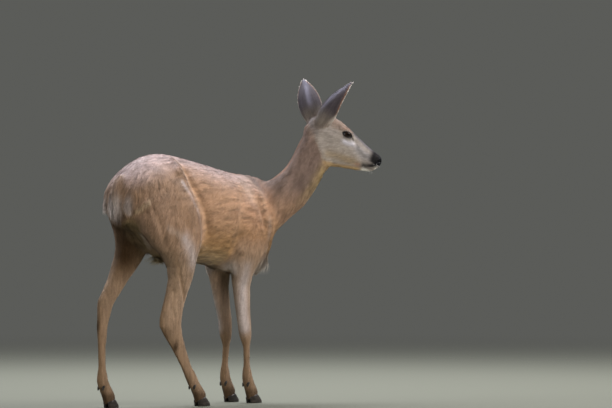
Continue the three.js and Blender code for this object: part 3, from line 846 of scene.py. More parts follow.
# Marks on the body: line, half width, tint, share, and whether both sides have it.
BODY_MARKS = [
    # painted highlight on the haunches' front folds, parting at the loin, curl at the fold's foot
    (FOLD_LIGHT, 7, LILAC_HIGHLIGHT, 0.75, False),
    ([(-146, -79, 640), (-126, -90, 598), (-106, -95, 558), (-92, -90, 505)], 20, PALE, 0.15, False),
    ([(-148, 79, 640), (-130, 90, 598), (-112, 93, 558), (-100, 88, 510)], 11, LILAC_HIGHLIGHT, 0.25, False),
    ([(-107, -24, 710), (-104, -44, 692), (-90, -60, 670)], 6, UMBER, 0.75, False),
    ([(-56, -82, 470), (-38, -78, 456), (-14, -74, 450)], 5, SAND, 0.5, True),
    # thigh: painted highlight on its muscle, wisps at its rear edge
    ([(-212, -109, 516), (-181, -111, 502), (-150, -108, 487)], 9, PALE, 0.35, True),
    ([(-252, -24, 499), (-234, -22, 481), (-204, -18, 455)], 6, PALE, 0.45, False),
    ([(-302, -66, 566), (-284, -82, 584), (-268, -92, 594)], 4.5, SAND, 0.7, True),
    # shoulder: red line from the withers, painted sheen on the blade
    ([(268, -16, 656), (266, -52, 610), (262, -74, 560)], 18, RED_TAN, 0.35, True),
    ([(196, -30, 650), (176, -48, 628), (182, -62, 600)], 22, PALE, 0.25, True),
    # painted highlight on the front edge of the thigh
    ([(-140, -107, 484), (-115, -102, 455), (-98, -92, 420)], 20, LILAC_HIGHLIGHT, 0.5, True),
    # painted highlight down the back edge of the forelegs
    ([(150, -60, 400), (146, -58, 340), (150, -56, 270), (158, -56, 220)], 19, LILAC_HIGHLIGHT, 0.65, True),
    # painted shade in the crease behind the elbow
    ([(108, -99, 540), (92, -98, 500), (80, -86, 450)], 9, UMBER, 0.3, True),
    ([(88, -94, 476), (78, -86, 450)], 6, DARK, 0.7, True),
    ([(254, -80, 530), (246, -80, 480)], 10, PALE, 0.35, True),
    # breast and under the chest
    ([(322, 0, 440), (300, 0, 408), (262, 0, 384), (210, 0, 366)], 24, WHITE, 0.4, False),
    ([(276, -30, 420), (250, -44, 386), (218, -48, 346)], 15, WHITE, 0.6, True),
    # painted shade in the groove of the gaskin
    ([(-165, -92, 424), (-146, -88, 380), (-124, -82, 330), (-110, -78, 300)], 6, UMBER, 0.35, True),
]
# Marks on the head, in its own axes and on both sides.
HEAD_MARKS = [
    ([(34, 0, 54), (40, 8, 52)], 13, RUST, 0.35),
    ([(24, 34, 36), (8, 36, 34), (-8, 36, 32)], 9, FOREHEAD, 0.5),
    ([(58, 17, 42), (96, 10, 34), (128, 7, 28)], 11, BRIDGE, 0.85),
    ([(70, 0, 44), (126, 0, 29)], 9, BRIDGE, 0.65),
    ([(40, 40, 9), (52, 38, 9), (64, 31, 12)], 7, EYE_PATCH, 0.8),
    ([(66, 31, 14), (92, 24, 10), (122, 18, 4)], 6.5, EYE_PATCH, 0.25),
    ([(26, 38, 45), (40, 36, 47), (56, 32, 43)], 5, RUST, 0.65),
    ([(86, 24, 6), (108, 21, -2), (130, 18, 2)], 13, MUZZLE, 0.75),
    ([(20, 38, -46), (52, 32, -40), (88, 24, -32)], 14, OLIVE, 0.85),
    ([(40, 36, -40), (80, 24, -34), (104, 21, -30)], 9, OLIVE, 0.6),
    ([(106, 20, -34), (112, 19, -32)], 7, RUST, 0.6),
]
MOUTH_BAND = [(125, 20, -27), (134, 20, -24), (146, 18, -16), (155, 16, -8), (160, 13, 2)]
HANGING = [((-328, 12, 586), (16, 15, 24)), ((-316, 47, 588), (10, 9, 24))]
# the cleft between the thighs, where shade is painted dark
CLEFT = [(-318, 0, 556), (-310, 0, 530), (-284, 0, 498), (-250, 0, 470), (-226, 0, 440)]


def hanging_hair(points):
    """How much of the rump's pale hanging hair there is at each point."""
    return np.maximum(*(spot(points, centre, sizes, True) for centre, sizes in HANGING))


def paint_body(points, normals, part, streaks):
    trunk, neck, tail, fore, hind = (part[k] for k in ("trunk", "neck", "tail", "fore", "hind"))
    x, y, z = points.T
    ahead, _, top = normals.T
    outward = normals[:, 1] * np.sign(y)
    nape = normals @ NAPE_SIDE
    legs, rear = fore + hind, trunk + hind
    leg = legs * smoothstep(520, 400, z)
    inner = smoothstep(-0.2, -0.9, outward)
    # the left thigh's rear, where shade is painted dark
    shaded_rear_of_thigh = stroke(points, [(-272, 48, 535), (-254, 46, 490), (-236, 42, 430)], 46)
    hanging = hanging_hair(points)
    layers = [
        (smoothstep(-60, -250, x) * rear, GREY_TAN, 0.45),
        # painted shade on the haunch, darker on its sides than on its top
        (smoothstep(-70, -170, x) * smoothstep(0.9, 0.3, top) * rear, UMBER, 0.30),
        # painted shade: the lower flank darker and more golden
        (smoothstep(560, 440, z) * smoothstep(-60, -20, x) * trunk, GOLDEN_SHADE, 0.75),
        (spot(points, (-316, -10, 612), (40, 70, 50)), UMBER, 0.4),
        # painted sheen: surfaces of the trunk that face up paler and cooler
        (smoothstep(0.35, 0.95, top) * trunk, CREST_SHEEN, 0.8),
        (spot(points, (185, -88, 540), (70, 40, 90), True), RED_TAN, 0.3),
        (smoothstep(-0.35, -0.85, top) * trunk, BELLY, 1),
        (smoothstep(0.80, 0.99, top) * smoothstep(40, 240, x) * trunk, RED_TAN, 0.7),
        # neck
        (neck, NECK_GREY, 0.75),
        (neck * smoothstep(640, 540, z), TAN, 0.75),
        (neck * smoothstep(0.88, 0.99, nape), RUST, 0.6),
        (neck * smoothstep(-0.1, -0.8, nape) * smoothstep(540, 680, z), THROAT, 0.85),
        # legs
        (leg, LEG, 1),
        # painted highlight on the legs' forward faces
        (leg * smoothstep(0.1, 0.9, ahead), LEG_HIGHLIGHT, 0.6),
        # painted shade on the backs of the lower legs
        (leg * smoothstep(-0.2, -0.9, ahead) * smoothstep(380, 240, z), UMBER, 0.35),
        # painted shade on the inner faces of the thighs
        (hind * inner * smoothstep(330, 430, z), UMBER, 0.5),
        (leg * smoothstep(300, 180, z), UMBER, 0.25),
        (legs * smoothstep(52, 34, z), DARK, 0.6),
        *((spot(points, *gland), DARK, 0.85) for gland in GLANDS),
        # rump: pale hanging hair over painted shade in the cleft and on the left thigh's rear
        (tail, GREY_TAN, 0.6),
        (stroke(points, CLEFT, 30), DARK, 0.85),
        (shaded_rear_of_thigh * smoothstep(0.85, 0.1, outward), DARK, 0.92),
        (hanging, CREAM, 0.85),
        (hanging * smoothstep(0.0, -1.2, streaks), GREY_TAN, 0.8),
        *((stroke(points, *form, both), tint, share) for *form, tint, share, both in BODY_MARKS),
        # elbow and groin
        (spot(points, (108, -52, 396), (18, 20, 18), True), CREAM, 0.6),
        (spot(points, GROIN, (46, 26, 30)), YELLOW, 0.8),
    ]
    return layered(np.zeros((len(points), 3)) + TAN, layers)


def paint_head(colour, points, head):
    """The head's markings, its bare nose and lids, and how bare each point is."""
    face = on_face(points)
    a, c, h = face.T
    jaw_edge = np.interp(a, (-20, 10, 50, 90, 130), (-66, -77, -69, -55, -42))
    jaw = smoothstep(15, 5, h - jaw_edge) * smoothstep(130, 112, a)
    dark_nose = smoothstep(126, 144, a + 0.3 * h + 0.4 * c - 4) * smoothstep(-12, -4, h)
    pad = np.sqrt(((a - 168) / 24) ** 2 + (c / 22) ** 2 + ((h - 9) / 19) ** 2)
    pad = head * smoothstep(1.0, 0.75, pad) * smoothstep(-7, -3, h)
    rim = np.zeros(len(points))
    for hand in EYES:
        u, v, o = in_eye(points, hand)
        edge = np.hypot(u / (LID_LENGTH + 3.0), almond(u, v) / (LID_HEIGHT + 2.4))
        rim = np.maximum(rim, smoothstep(1.12, 0.98, edge) * (o > 0))
        rim = np.maximum(rim, tear_line(points, hand))
    layers = [
        (head, FACE, 1),
        (head * smoothstep(26, 46, h) * smoothstep(66, 40, a), FOREHEAD, 0.85),
        (head * jaw, JAW, 0.8),
        (head * smoothstep(-22, -55, a) * smoothstep(70, 30, h), NECK_GREY, 0.6),
        *((head * stroke(face, *form), tint, share) for *form, tint, share in HEAD_MARKS),
        (head * smoothstep(-28, -33, h) * smoothstep(120, 131, a), WHITE, 0.95),  # chin
        (head * dark_nose, BLACK, 0.96),
        (head * stroke(face, MOUTH_BAND, 9.5), BLACK, 0.97),
        (head * spot(face, (163, 8, -15), (8, 7, 4.0)), WHITE, 0.85),
        (pad, BLACK, 1),
        (rim, BLACK, 0.97),
    ]
    return layered(colour, layers), pad, rim


def paint_ear(colour, points, normals, mine, name):
    """An ear: dark back with a painted sheen along its middle, pale hollow with white fringes, and a thin
    rusty edge.
    """
    t, across, _ = ear_place(name, points)
    hollow = smoothstep(-0.1, 0.3, normals @ ear_frame(name)[3]) * mine
    rims = ear_rims(name, points, mine)
    nearest = np.minimum(*rims)
    middle = np.exp(-(((across + 4) / 7) ** 2)) * smoothstep(0.1, 0.4, t)
    edging = np.exp(-((nearest / 3.2) ** 2)) * (1 - hollow) * smoothstep(0.1, 0.3, t)
    layers = [
        (mine, EAR_BACK, 1),
        # painted sheen along the middle of the ear's back
        (mine * middle, EAR_RIDGE_SHEEN, 0.75),
        (mine * smoothstep(0.42, 0.05, t), EAR_ROOT, 0.9),
        (hollow, EAR_INSIDE, 0.95),
        (mine * edging, RUST, 0.7),
        (hollow * np.exp(-((nearest / 10) ** 2)), WHITE, 0.8),
    ]
    return layered(colour, layers), hollow, rims


def coat_fields(points, normals, edges):
    """Colour, length, slope, density and lie of the coat at each point of the skin."""
    part = shares(points, edges, 10)
    trunk, neck, head, tail = (part[k] for k in ("trunk", "neck", "head", "tail"))
    legs, ears = part["fore"] + part["hind"], part["ear_left"] + part["ear_right"]
    z = points[:, 2]
    place = in_head(points)
    a, h = place[:, 0], place[:, 2]
    crown = smoothstep(-20, -60, a)
    flow = lie_of_coat(points, normals, edges, part)
    streaks, patches = streaks_in_coat(points, edges, flow)
    colour = paint_body(points, normals, part, streaks)
    colour, pad, rim = paint_head(colour, points, head)
    bare = np.maximum(pad, rim)

    # length, and how far the hair stands from the skin
    length = 15 * trunk + 13 * neck + 13 * tail + 5.5 * ears
    jaw = smoothstep(-50, -75, h)
    length += head * (6.5 - 2.8 * smoothstep(40, 120, a) + 2 * jaw + 5 * crown)
    length += legs * (6.0 + 8 * smoothstep(260, 470, z))
    inner = np.zeros(len(points))
    for name in EAR_ENDS:
        mine = part[name]
        colour, hollow, rims = paint_ear(colour, points, normals, mine, name)
        fringe = hollow * np.exp(-((np.minimum(*rims) / 6) ** 2))
        length += 5 * hollow - 5.5 * fringe
        side = ear_frame(name)[4] * np.sign(rims[0] - rims[1])[:, None] * -1
        flow = flow + 0.45 * fringe[:, None] * side
        inner = np.maximum(inner, hollow)
    flow = laid(flow, normals)
    seam = smoothstep(0.0, 0.15, ears) * smoothstep(1.0, 0.85, ears)
    colour = colour + seam[:, None] * (diffuse(colour, edges, 10) - colour)
    fluff = 17 * hanging_hair(points)
    rise = np.zeros(len(points))
    for line, width, extra, stand, both in LONG_HAIR:
        where = stroke(points, line, width, both)
        fluff, rise = fluff + extra * where, rise + stand * where
    for node in sorted(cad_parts):
        if node.startswith("dewclaw"):
            foot = own(read_points(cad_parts[node].data)).mean(0)
            fluff = fluff + 2 * spot(points, foot + (4, 0, 9), (12, 12, 12))
    fluff = fluff + 1.5 * legs * smoothstep(60, 50, z)
    for gland in GLANDS:
        fluff = fluff + 6 * spot(points, *gland)
    fluff = fluff + 18 * spot(points, GROIN, (44, 26, 30))
    length = (length + fluff) * (1 - 0.75 * pad) * (1 - 0.5 * rim)
    slope = 0.15 * trunk + 0.14 * neck + 0.2 * tail + 0.13 * legs + 0.14 * head + 0.14 * ears
    slope = slope + 0.2 * inner + 0.012 * fluff + rise + 0.10 * head * crown

    width = 1.05 - 0.42 * head - 0.3 * legs * smoothstep(420, 260, z) - 0.40 * ears
    density = 0.33 * trunk + 0.42 * neck + 0.4 * tail + 0.95 * head + 0.75 * ears
    density = density + legs * (0.36 + 0.20 * smoothstep(420, 200, z))
    density = density * (1 - smoothstep(0.3, 0.6, bare)) * (1 + 0.012 * fluff)
    tone = 1 + ((0.09 + 0.08 * (trunk + neck)) * streaks + 0.03 * patches) * (1 - bare)
    return {
        "part": part,
        "colour": np.clip(colour * tone[:, None], 0.002, 0.95),
        "flow": flow,
        "length": np.maximum(length, 2.5),
        "slope": slope,
        "width": width,
        "density": density,
        "bare": bare,
    }


# ---------- materials ----------
def painted_base(tree, shader, noise, shades):
    """Links the painted colour to the base colour, mottled by a noise between two shades."""
    painted = add(tree, "ShaderNodeAttribute", attribute_name="coat").outputs["Color"]
    where = add(tree, "ShaderNodeTexCoord").outputs["Object"]
    mottle = add(tree, "ShaderNodeTexNoise", {"Vector": where}, **noise).outputs["Fac"]
    scale = mapped(tree, mottle, **shades)
    shade = add(tree, "ShaderNodeVectorMath", {0: painted, "Scale": scale}, operation="SCALE")
    tree.links.new(shade.outputs["Vector"], shader.inputs["Base Color"])
    return painted, where


def raised(tree, shader, height, strength, distance):
    """Links a fine relief to the shader's normal."""
    bump = add(tree, "ShaderNodeBump", {"Height": height}, Strength=strength, Distance=distance)
    tree.links.new(bump.outputs["Normal"], shader.inputs["Normal"])


def coat_material():
    """Hair: the painted colour, with fine mottling, a sheen where it is pale, and a fine bump."""
    material, tree, shader = principled(
        "coat", Roughness=0.68, Specular_IOR_Level=0.12, Sheen_Roughness=0.45
    )
    noise = {"Scale": 90.0, "Detail": 3.0, "Roughness": 0.6}
    shades = {"From_Min": 0.3, "From_Max": 0.7, "To_Min": 0.9, "To_Max": 1.1}
    painted, where = painted_base(tree, shader, noise, shades)
    light = add(tree, "ShaderNodeRGBToBW", {"Color": painted}).outputs["Val"]
    sheen = mapped(tree, light, From_Min=0.02, From_Max=0.3, To_Max=0.22)
    tree.links.new(sheen, shader.inputs["Sheen Weight"])
    hairs = add(tree, "ShaderNodeTexNoise", {"Vector": where}, Scale=900.0, Detail=2.0)
    raised(tree, shader, hairs.outputs["Fac"], 0.25, 0.001)
    return material


def skin_material():
    """Skin under the hair, and bare black leather on the nose and the lids."""
    material, tree, shader = principled("skin", Specular_IOR_Level=0.08)
    noise = {"Scale": 160.0, "Detail": 4.0, "Roughness": 0.65}
    shades = {"From_Min": 0.3, "From_Max": 0.7, "To_Min": 0.82, "To_Max": 1.08}
    where = painted_base(tree, shader, noise, shades)[1]
    bare = add(tree, "ShaderNodeAttribute", attribute_name="bare").outputs["Fac"]
    gloss = mapped(tree, bare, To_Min=0.85, To_Max=0.40)
    tree.links.new(gloss, shader.inputs["Roughness"])
    hairs = add(tree, "ShaderNodeTexNoise", {"Vector": where}, Scale=700.0, Detail=3.0)
    pores = add(tree, "ShaderNodeTexVoronoi", {"Vector": where}, Scale=620.0)
    both = {"Factor": bare, "A": hairs.outputs["Fac"], "B": pores.outputs["Distance"]}
    relief = add(tree, "ShaderNodeMix", both).outputs["Result"]
    raised(tree, shader, relief, 0.55, 0.0009)
    return material


def eye_material():
    """The wet surface of the eye, with fine fibres in its painted colour."""
    material, tree, shader = principled("eye", Roughness=0.10, Specular_IOR_Level=0.30)
    shades = {"To_Min": 0.7, "To_Max": 1.3}
    painted_base(tree, shader, {"Scale": 900.0, "Detail": 2.0}, shades)
    return material


def horn_material():
    """Dark horn with faint growth rings."""
    material, tree, shader = principled("horn", Specular_IOR_Level=0.45)
    where = add(tree, "ShaderNodeTexCoord").outputs["Object"]
    flat = add(tree, "ShaderNodeMapping", {"Vector": where}, Scale=(60, 60, 420)).outputs["Vector"]
    rings = add(tree, "ShaderNodeTexNoise", {"Vector": flat}, Scale=1.0, Detail=3.0).outputs["Fac"]
    tone = add(tree, "ShaderNodeValToRGB", {"Fac": rings})
    shades = (0.35, (0.012, 0.010, 0.009, 1)), (0.7, (0.050, 0.040, 0.033, 1))
    for stop, (position, colour) in zip(tone.color_ramp.elements, shades):
        stop.position = position
        stop.color = colour
    tree.links.new(tone.outputs["Color"], shader.inputs["Base Color"])
    worn = mapped(tree, rings, To_Min=0.34, To_Max=0.58)
    tree.links.new(worn, shader.inputs["Roughness"])
    raised(tree, shader, rings, 0.5, 0.0008)
    return material


HAIR, SKIN, EYE, HORN = coat_material(), skin_material(), eye_material(), horn_material()


# ---------- coat ----------
MOST_TUFTS = 62000  # of one piece
FEWEST_TUFTS = 200  # that are worth a piece of their own
LOCK_LENGTH = 24  # hair from this length on grows as locks
# Steps along a blade from root to tip, and its width at each.
TUFT = (0, 0.45, 1.0), (0.7, 1, 0)
LOCK = (0, 0.28, 0.55, 0.8, 1.0), (0.7, 1, 0.8, 0.5, 0)
PATCH = 0.003  # how much of the OFBake map one blade takes


def raw_mesh(name, points, corners, starts):
    mesh = bpy.data.meshes.new(name)
    mesh.vertices.add(len(points))
    mesh.vertices.foreach_set("co", np.asarray(points, np.float32).ravel())
    mesh.loops.add(len(corners))
    mesh.loops.foreach_set("vertex_index", np.asarray(corners, np.int32))
    mesh.polygons.add(len(starts))
    mesh.polygons.foreach_set("loop_start", np.asarray(starts, np.int32))
    mesh.update(calc_edges=True)
    mesh.shade_smooth()
    return mesh


def paint(mesh, colours, name="coat"):
    layer = mesh.color_attributes.new(name, "FLOAT_COLOR", "POINT")
    full = np.ones((len(colours), 4), np.float32)
    full[:, :3] = colours
    layer.data.foreach_set("color", full.ravel())


def rooted(points, triangles, fields, normals, chosen):
    """Random roots over the chosen faces, with the coat's fields at each."""
    a, b, c = (points[triangles[:, k]] for k in range(3))
    area = np.linalg.norm(np.cross(b - a, c - a), axis=1) / 2
    weight = area * fields["density"][triangles].mean(1) * chosen
    count = int(min(weight.sum(), MOST_TUFTS))
    picked = rng.choice(len(triangles), count, p=weight / weight.sum())
    u, v = np.sqrt(rng.random(count)), rng.random(count)
    mixing = np.stack((1 - u, u * (1 - v), u * v), 1)
    corners = triangles[picked]

    def blend(values):
        shares_of = mixing.reshape(mixing.shape + (1,) * (values.ndim - 1))
        return (values[corners] * shares_of).sum(1)

    found = {key: blend(fields[key]) for key in ("colour", "flow", "length", "slope", "width")}
    found["root"], found["normal"] = blend(points), unit(blend(normals))
    return found


def blades(found, steps, widths):
    """Points, painted colours and patch places of flat tapered blades, one per root."""
    count = len(found["root"])
    normal = found["normal"]
    yaw = rng.normal(0, 0.13, count)[:, None]
    flow = unit(found["flow"])
    flow = unit(flow + yaw * np.cross(normal, flow))
    roll = rng.normal(0, 0.30, count)[:, None]
    across = np.cross(normal, flow)
    across = across * np.cos(roll) + normal * np.sin(roll)
    length = (found["length"] * rng.uniform(0.72, 1.2, count))[:, None]
    slope = (found["slope"] * rng.uniform(0.55, 1.5, count))[:, None]
    width = (found["width"] * rng.uniform(0.75, 1.25, count))[:, None]
    sag = np.clip((length - 18) / 60, 0, 0.5)
    bright = rng.normal(1, 0.07, count)[:, None]
    rows, tints, patch = [], [], []
    for step, wide in zip(steps, widths):
        spine = found["root"] + flow * length * step
        spine = spine + normal * (length * slope * (step - 0.45 * step * step) - 0.2)
        spine = spine - np.array((0, 0, 1.0)) * length * sag * step * step
        tint = found["colour"] * bright * (0.86 + 0.24 * step)
        for hand in (-1, 1) if wide else (0,):
            rows.append(spine + across * width * wide * hand / 2)
            tints.append(tint)
            patch.append((0.5 * hand, step - 0.5))
    points = np.stack(rows, 1)
    return points, np.stack(tints, 1), np.array(patch)


def coat_piece(name, found, atlas, form):
    """One mesh of blades, with its OFBake map."""
    steps, widths = form
    points, tints, patch = blades(found, steps, widths)
    count, each = points.shape[:2]
    rings = len(steps) - 1
    faces = [(2 * k, 2 * k + 1, 2 * k + 3, 2 * k + 2) for k in range(rings - 1)]
    faces.append((2 * rings - 2, 2 * rings - 1, 2 * rings))
    one = np.concatenate([np.array(face) for face in faces])
    corners = (one[None] + each * np.arange(count)[:, None]).ravel()
    sizes = np.tile([len(face) for face in faces], count)
    starts = np.concatenate(((0,), np.cumsum(sizes)[:-1]))
    mesh = raw_mesh(name, placed(points.reshape(-1, 3)), corners, starts)
    paint(mesh, np.clip(tints.reshape(-1, 3), 0, 1))
    spread = atlas[:, None, :] + patch[None] * PATCH
    layer = mesh.uv_layers.new(name="OFBake")
    layer.data.foreach_set("uv", spread.reshape(-1, 2)[corners].astype(np.float32).ravel())
    obj = new_object(name, mesh)
    mesh.materials.append(HAIR)
    return obj


# The middle lines of the left and the right leg, heights and places along her, and their
# distances from her middle at heights 0, 300 and 640.
FORE_LINE = (0, 100, 280, 440, 640), (205, 180, 162, 178, 200)
LEG_LINES = {
    "forelegs": (FORE_LINE, FORE_LINE),
    "hindlegs": (
        ((0, 100, 250, 340, 440, 640), (-280, -314, -308, -270, -190, -180)),
        ((0, 100, 220, 360, 440, 640), (-30, -85, -158, -122, -130, -180)),
    ),
}
LEG_SPREADS = {"forelegs": (44, 44, 40), "hindlegs": (58, 60, 40)}


def around(points, middle, axis, upward):
    """Angle of each point round an axis, as a share of a turn."""
    side = np.cross(axis, upward)
    ray = points - middle
    return np.arctan2(ray @ upward, ray @ side) / (2 * math.pi) + 0.5


def unwrap(kind, points):
    """Each root's place on an unwrap of the skin: along a part and round it."""
    x, y, z = points.T
    if kind.startswith("trunk"):
        angle = np.arctan2(z - 560, np.abs(y)) / math.pi + 0.5
        return np.stack(((x + 345) / 700, angle), 1)
    if kind == "neck":
        axis = unit(np.array((177.0, -124.0, 262.0)))
        along = ((points - (262, 6, 528)) @ axis + 110) / 500
        return np.stack((along, around(points, np.array((350, -55, 640)), axis, NAPE_SIDE)), 1)
    if kind == "head":
        place = in_head(points)
        angle = np.arctan2(place[:, 2] + 8, place[:, 1]) / (2 * math.pi)
        return np.stack(((place[:, 0] + 90) / 270, (angle + 0.75) % 1), 1)
    if kind in LEG_LINES:
        left = y > 0
        lines, wide = LEG_LINES[kind], LEG_SPREADS[kind]
        line_x = np.where(left, *(np.interp(z, *line) for line in lines))
        line_y = np.where(left, 1, -1) * np.interp(z, (0, 300, 640), wide)
        angle = np.arctan2(y - line_y, x - line_x) / (2 * math.pi) + 0.5
        return np.stack((z / 720, 0.5 * left + 0.01 + 0.48 * angle), 1)
    columns = np.zeros((len(points), 2))
    for k, name in enumerate(EAR_ENDS):
        t, across, out = ear_place(name, points)
        angle = np.arctan2(out - 22, across) / (2 * math.pi) + 0.5
        mine = (in_head(points)[:, 1] > 0) == (name == "ear_left")
        columns[mine] = np.stack((t, 0.5 * k + 0.01 + 0.48 * angle), 1)[mine]
    return columns


def grow_coat(points, triangles, normals, fields):
    """The pieces of the coat: tufts on every part, and locks where the hair is long."""
    part = fields["part"]
    names = list(part)
    owner = np.argmax(np.stack([part[n] for n in names], 1)[triangles].mean(1), 1)
    is_part = lambda *wanted: np.isin(owner, [names.index(n) for n in wanted])
    left = points[triangles].mean(1)[:, 1] > 0
    made = []
    jobs = [
        ("trunk_left", is_part("trunk", "tail") & left),
        ("trunk_right", is_part("trunk", "tail") & ~left),
        ("neck", is_part("neck")),
        ("head", is_part("head")),
        ("forelegs", is_part("fore")),
        ("hindlegs", is_part("hind")),
        ("ears", is_part("ear_left", "ear_right")),
    ]
    for name, faces in jobs:
        found = rooted(points, triangles, fields, normals, faces)
        short = found["length"] < LOCK_LENGTH
        for prefix, form, chosen in (("coat_", TUFT, short), ("locks_", LOCK, ~short)):
            if chosen.sum() > FEWEST_TUFTS:
                mine = {key: value[chosen] for key, value in found.items()}
                atlas = unwrap(name, mine["root"])
                made.append(coat_piece(prefix + name, mine, atlas, form))
    return made


skin_points, skin_edges = net(skin.data)
skin_triangles = read_triangles(skin.data)
skin_normals = normals_of(skin_points, skin_triangles)
fields = coat_fields(skin_points, skin_normals, skin_edges)
paint(skin.data, fields["colour"])
paint(skin.data, np.repeat(fields["bare"][:, None], 3, 1), "bare")
skin.data.materials.clear()
skin.data.materials.append(SKIN)
skin.data.shade_smooth()
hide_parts(*[n for nodes in REGIONS.values() for n in nodes if not n.startswith("eye")])
coats = grow_coat(skin_points, skin_triangles, skin_normals, fields)
for piece in [skin, *coats]:
    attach(piece, "root")


# ---------- eyes ----------
PUPIL = (5.6, 3.4)  # half its length and half its height
EYE_RIM = (0.010, 0.007, 0.006)
IRIS = (0.010, 0.005, 0.002)  # what the iris adds to the rim's colour


def eye(hand, node):
    """A dark eyeball: brown iris, level slot of a pupil, and a slight bulge in front."""
    along, upward, outward = eye_axes(hand)
    bm = bmesh.new()
    bmesh.ops.create_uvsphere(bm, u_segments=56, v_segments=36, radius=1)
    axes = np.array((along, -upward * hand, outward))
    for vertex in bm.verts:
        bulge = 1 + 0.035 * smoothstep(0.72, 1.0, vertex.co.z)
        vertex.co = placed(EYES[hand] + (np.array(vertex.co) * EYE_RADIUS * bulge) @ axes)
    mesh = bpy.data.meshes.new(node)
    bm.to_mesh(mesh)
    bm.free()
    mesh.shade_smooth()
    points = own(read_points(mesh)) - EYES[hand]
    a, b, o = points @ along, points @ upward, points @ outward
    turned = np.arccos(np.clip(o / np.linalg.norm(points, axis=1), -1, 1))
    iris = smoothstep(0.80, 0.74, turned)[:, None]
    pupil = smoothstep(1.1, 0.95, np.hypot(a / PUPIL[0], b / PUPIL[1])) * (o > 0)
    tint = (np.array(EYE_RIM) + iris * np.array(IRIS)) * (1 - 0.9 * pupil[:, None])
    paint(mesh, tint)
    obj = new_object(node + "_ball", mesh)
    mesh.materials.append(EYE)
    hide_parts(node)
    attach(obj, "root")


eye(RIGHT, "eye_right")
eye(LEFT, "eye_left")


# ---------- hooves ----------
HORN_VOXEL = 1.3


def shaped_claw(points, sole):
    """A claw on a flat sole, its wall leaning back to a coronet that is drawn in under the hair."""
    middle = points.mean(0)
    points[:, 2] = np.where(sole, 0.0, np.maximum(points[:, 2], 0.0))
    points[:, 2] -= 0.4 * np.maximum(points[:, 2] - 30, 0)
    points[:, 0] -= 0.35 * np.maximum(points[:, 2] - 8, 0)
    root = smoothstep(18, 36, points[:, 2])[:, None]
    points = points + root * ((middle - points) * (0.34, 0.10, 0.22))
    rings = np.sin(points[:, 2] * 2.1 + 0.05 * points[:, 0])  # growth rings round the wall
    outward = unit((points - middle) * (1, 1, 0))
    return points + outward * (0.16 * rings * smoothstep(2, 6, points[:, 2]))[:, None]


def shaped_dewclaw(points):
    """A short cone that points down and back."""
    middle = points.mean(0)
    low = smoothstep(6, -8, points[:, 2] - middle[2])[:, None]
    points = points + (middle - points) * (0.38, 0.38, 0.0) * low + low * (-1.5, 0, -1.5)
    return points + (2.5, 0, 1.5)


def horn(node):
    """The horn of a claw or dewclaw: the CAD piece, rounded and shaped."""
    claw = node.startswith("hoof")
    mesh = remeshed(copied((node,), 0.2 if claw else -0.4), HORN_VOXEL)
    points, edges = net(mesh)
    sole = points[:, 2] < 1.2
    points = diffuse(points, edges, 16 if claw else 10)
    points = shaped_claw(points, sole) if claw else shaped_dewclaw(points)
    write_points(mesh, placed(points))
    mesh.shade_smooth()
    obj = new_object(node + "_horn", mesh)
    mesh.materials.clear()
    mesh.materials.append(HORN)
    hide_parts(node)
    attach(obj, "root")


for node in sorted(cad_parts):
    if node.startswith(("hoof", "dewclaw")):
        horn(node)


# ---------- whiskers and lashes ----------
def bristles(name, stems, tint):
    """Thin tapered hairs, each a bent cone: root, direction, length, droop, thickness."""
    sides, steps = 4, 5
    points, corners, starts = [], [], []
    for root, way, length, droop, thick in stems:
        way = unit(np.asarray(way, float))
        across = unit(np.cross(way, (0.3, 0.2, 1.0)))
        other = np.cross(way, across)
        first = len(points)
        tip = first + steps * sides
        for k in range(steps):
            s = k / steps
            middle = root + way * length * s + droop * length * s * s
            radius = thick / 2 * (1 - s) ** 0.7
            for j in range(sides):
                angle = 2 * math.pi * j / sides
                spoke = math.cos(angle) * across + math.sin(angle) * other
                points.append(middle + radius * spoke)
                a, b = first + k * sides + j, first + k * sides + (j + 1) % sides
                starts.append(len(corners))
                corners += [a, b, b + sides, a + sides] if k < steps - 1 else [a, b, tip]
        points.append(root + way * length + droop * length)
        starts.append(len(corners))
        corners += [first + j for j in reversed(range(sides))]
    mesh = raw_mesh(name, placed(np.array(points)), corners, starts)
    paint(mesh, np.tile(tint, (len(points), 1)))
    obj = new_object(name, mesh)
    mesh.materials.append(HAIR)
    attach(obj, "root")


SKIN_TREE = BVHTree.FromPolygons(skin_points.tolist(), skin_triangles.tolist())
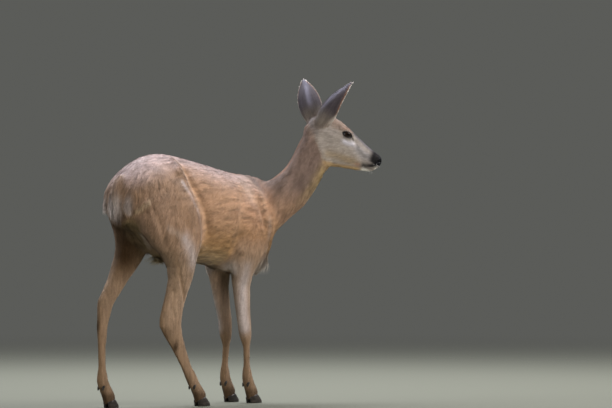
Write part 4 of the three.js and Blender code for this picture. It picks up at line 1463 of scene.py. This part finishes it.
# Where whiskers grow on each side, on the chin and the upper lip: ranges along, across and up in
# the head, how far they turn ahead, down and at random, their lengths and their droop.
WHISKERS = [
    ((118, 156), (2, 15), (-34, -24), 0.25, 0.15, 0.35, (7, 17), 0.1),
    ((146, 163), (8, 18), (-13, -4), 0.1, 0.2, 0.2, (7, 15), 0.2),
]
WHISKERS_EACH, WHISKER_WIDTH, WHISKER_TINT = 9, 0.26, (0.75, 0.73, 0.70)
LASHES_EACH, LASH_WIDTH, LASH_TINT = 22, 0.4, (0.02, 0.015, 0.012)
LASH_RISE, LASH_OUT = 8.6, 10.5  # from the eye's centre to their roots


def on_skin(point):
    place, normal, _, _ = SKIN_TREE.find_nearest(Vector(point))
    return np.array(place), np.array(normal)


def whiskers(hand):
    """The whiskers of one side."""
    stems = []
    for along, across, height, ahead, down, spread, lengths, droop in WHISKERS:
        for _ in range(WHISKERS_EACH):
            place = rng.uniform(*along), hand * rng.uniform(*across), rng.uniform(*height)
            root, normal = on_skin(head_point(*place))
            way = normal + ahead * FORWARD - down * UP + rng.normal(0, spread, 3)
            length = rng.uniform(*lengths)
            stems.append((root - normal * 0.5, way, length, -droop * UP, WHISKER_WIDTH))
    return stems


def lashes(hand):
    """The lashes of one eye's upper lid."""
    along, upward, outward = eye_axes(hand)
    stems = []
    for s in np.linspace(-1, 1, LASHES_EACH):
        rise = LASH_RISE * math.sqrt(1 - 0.8 * s * s)
        rim = along * s * LID_LENGTH + upward * rise + outward * LASH_OUT
        root = on_skin(EYES[hand] + rim)[0]
        way = outward + upward * 0.5 + along * s * 0.5 + rng.normal(0, 0.08, 3)
        length = rng.uniform(5, 7.5) * (1 - 0.35 * s * s)
        stems.append((root - outward * 0.5, way, length, -0.35 * UP, LASH_WIDTH))
    return stems


pale, dark = [], []
for hand in (LEFT, RIGHT):
    pale += whiskers(hand)
    dark += lashes(hand)
bristles("whiskers", pale, WHISKER_TINT)
bristles("lashes", dark, LASH_TINT)

bpy.context.view_layer.update()
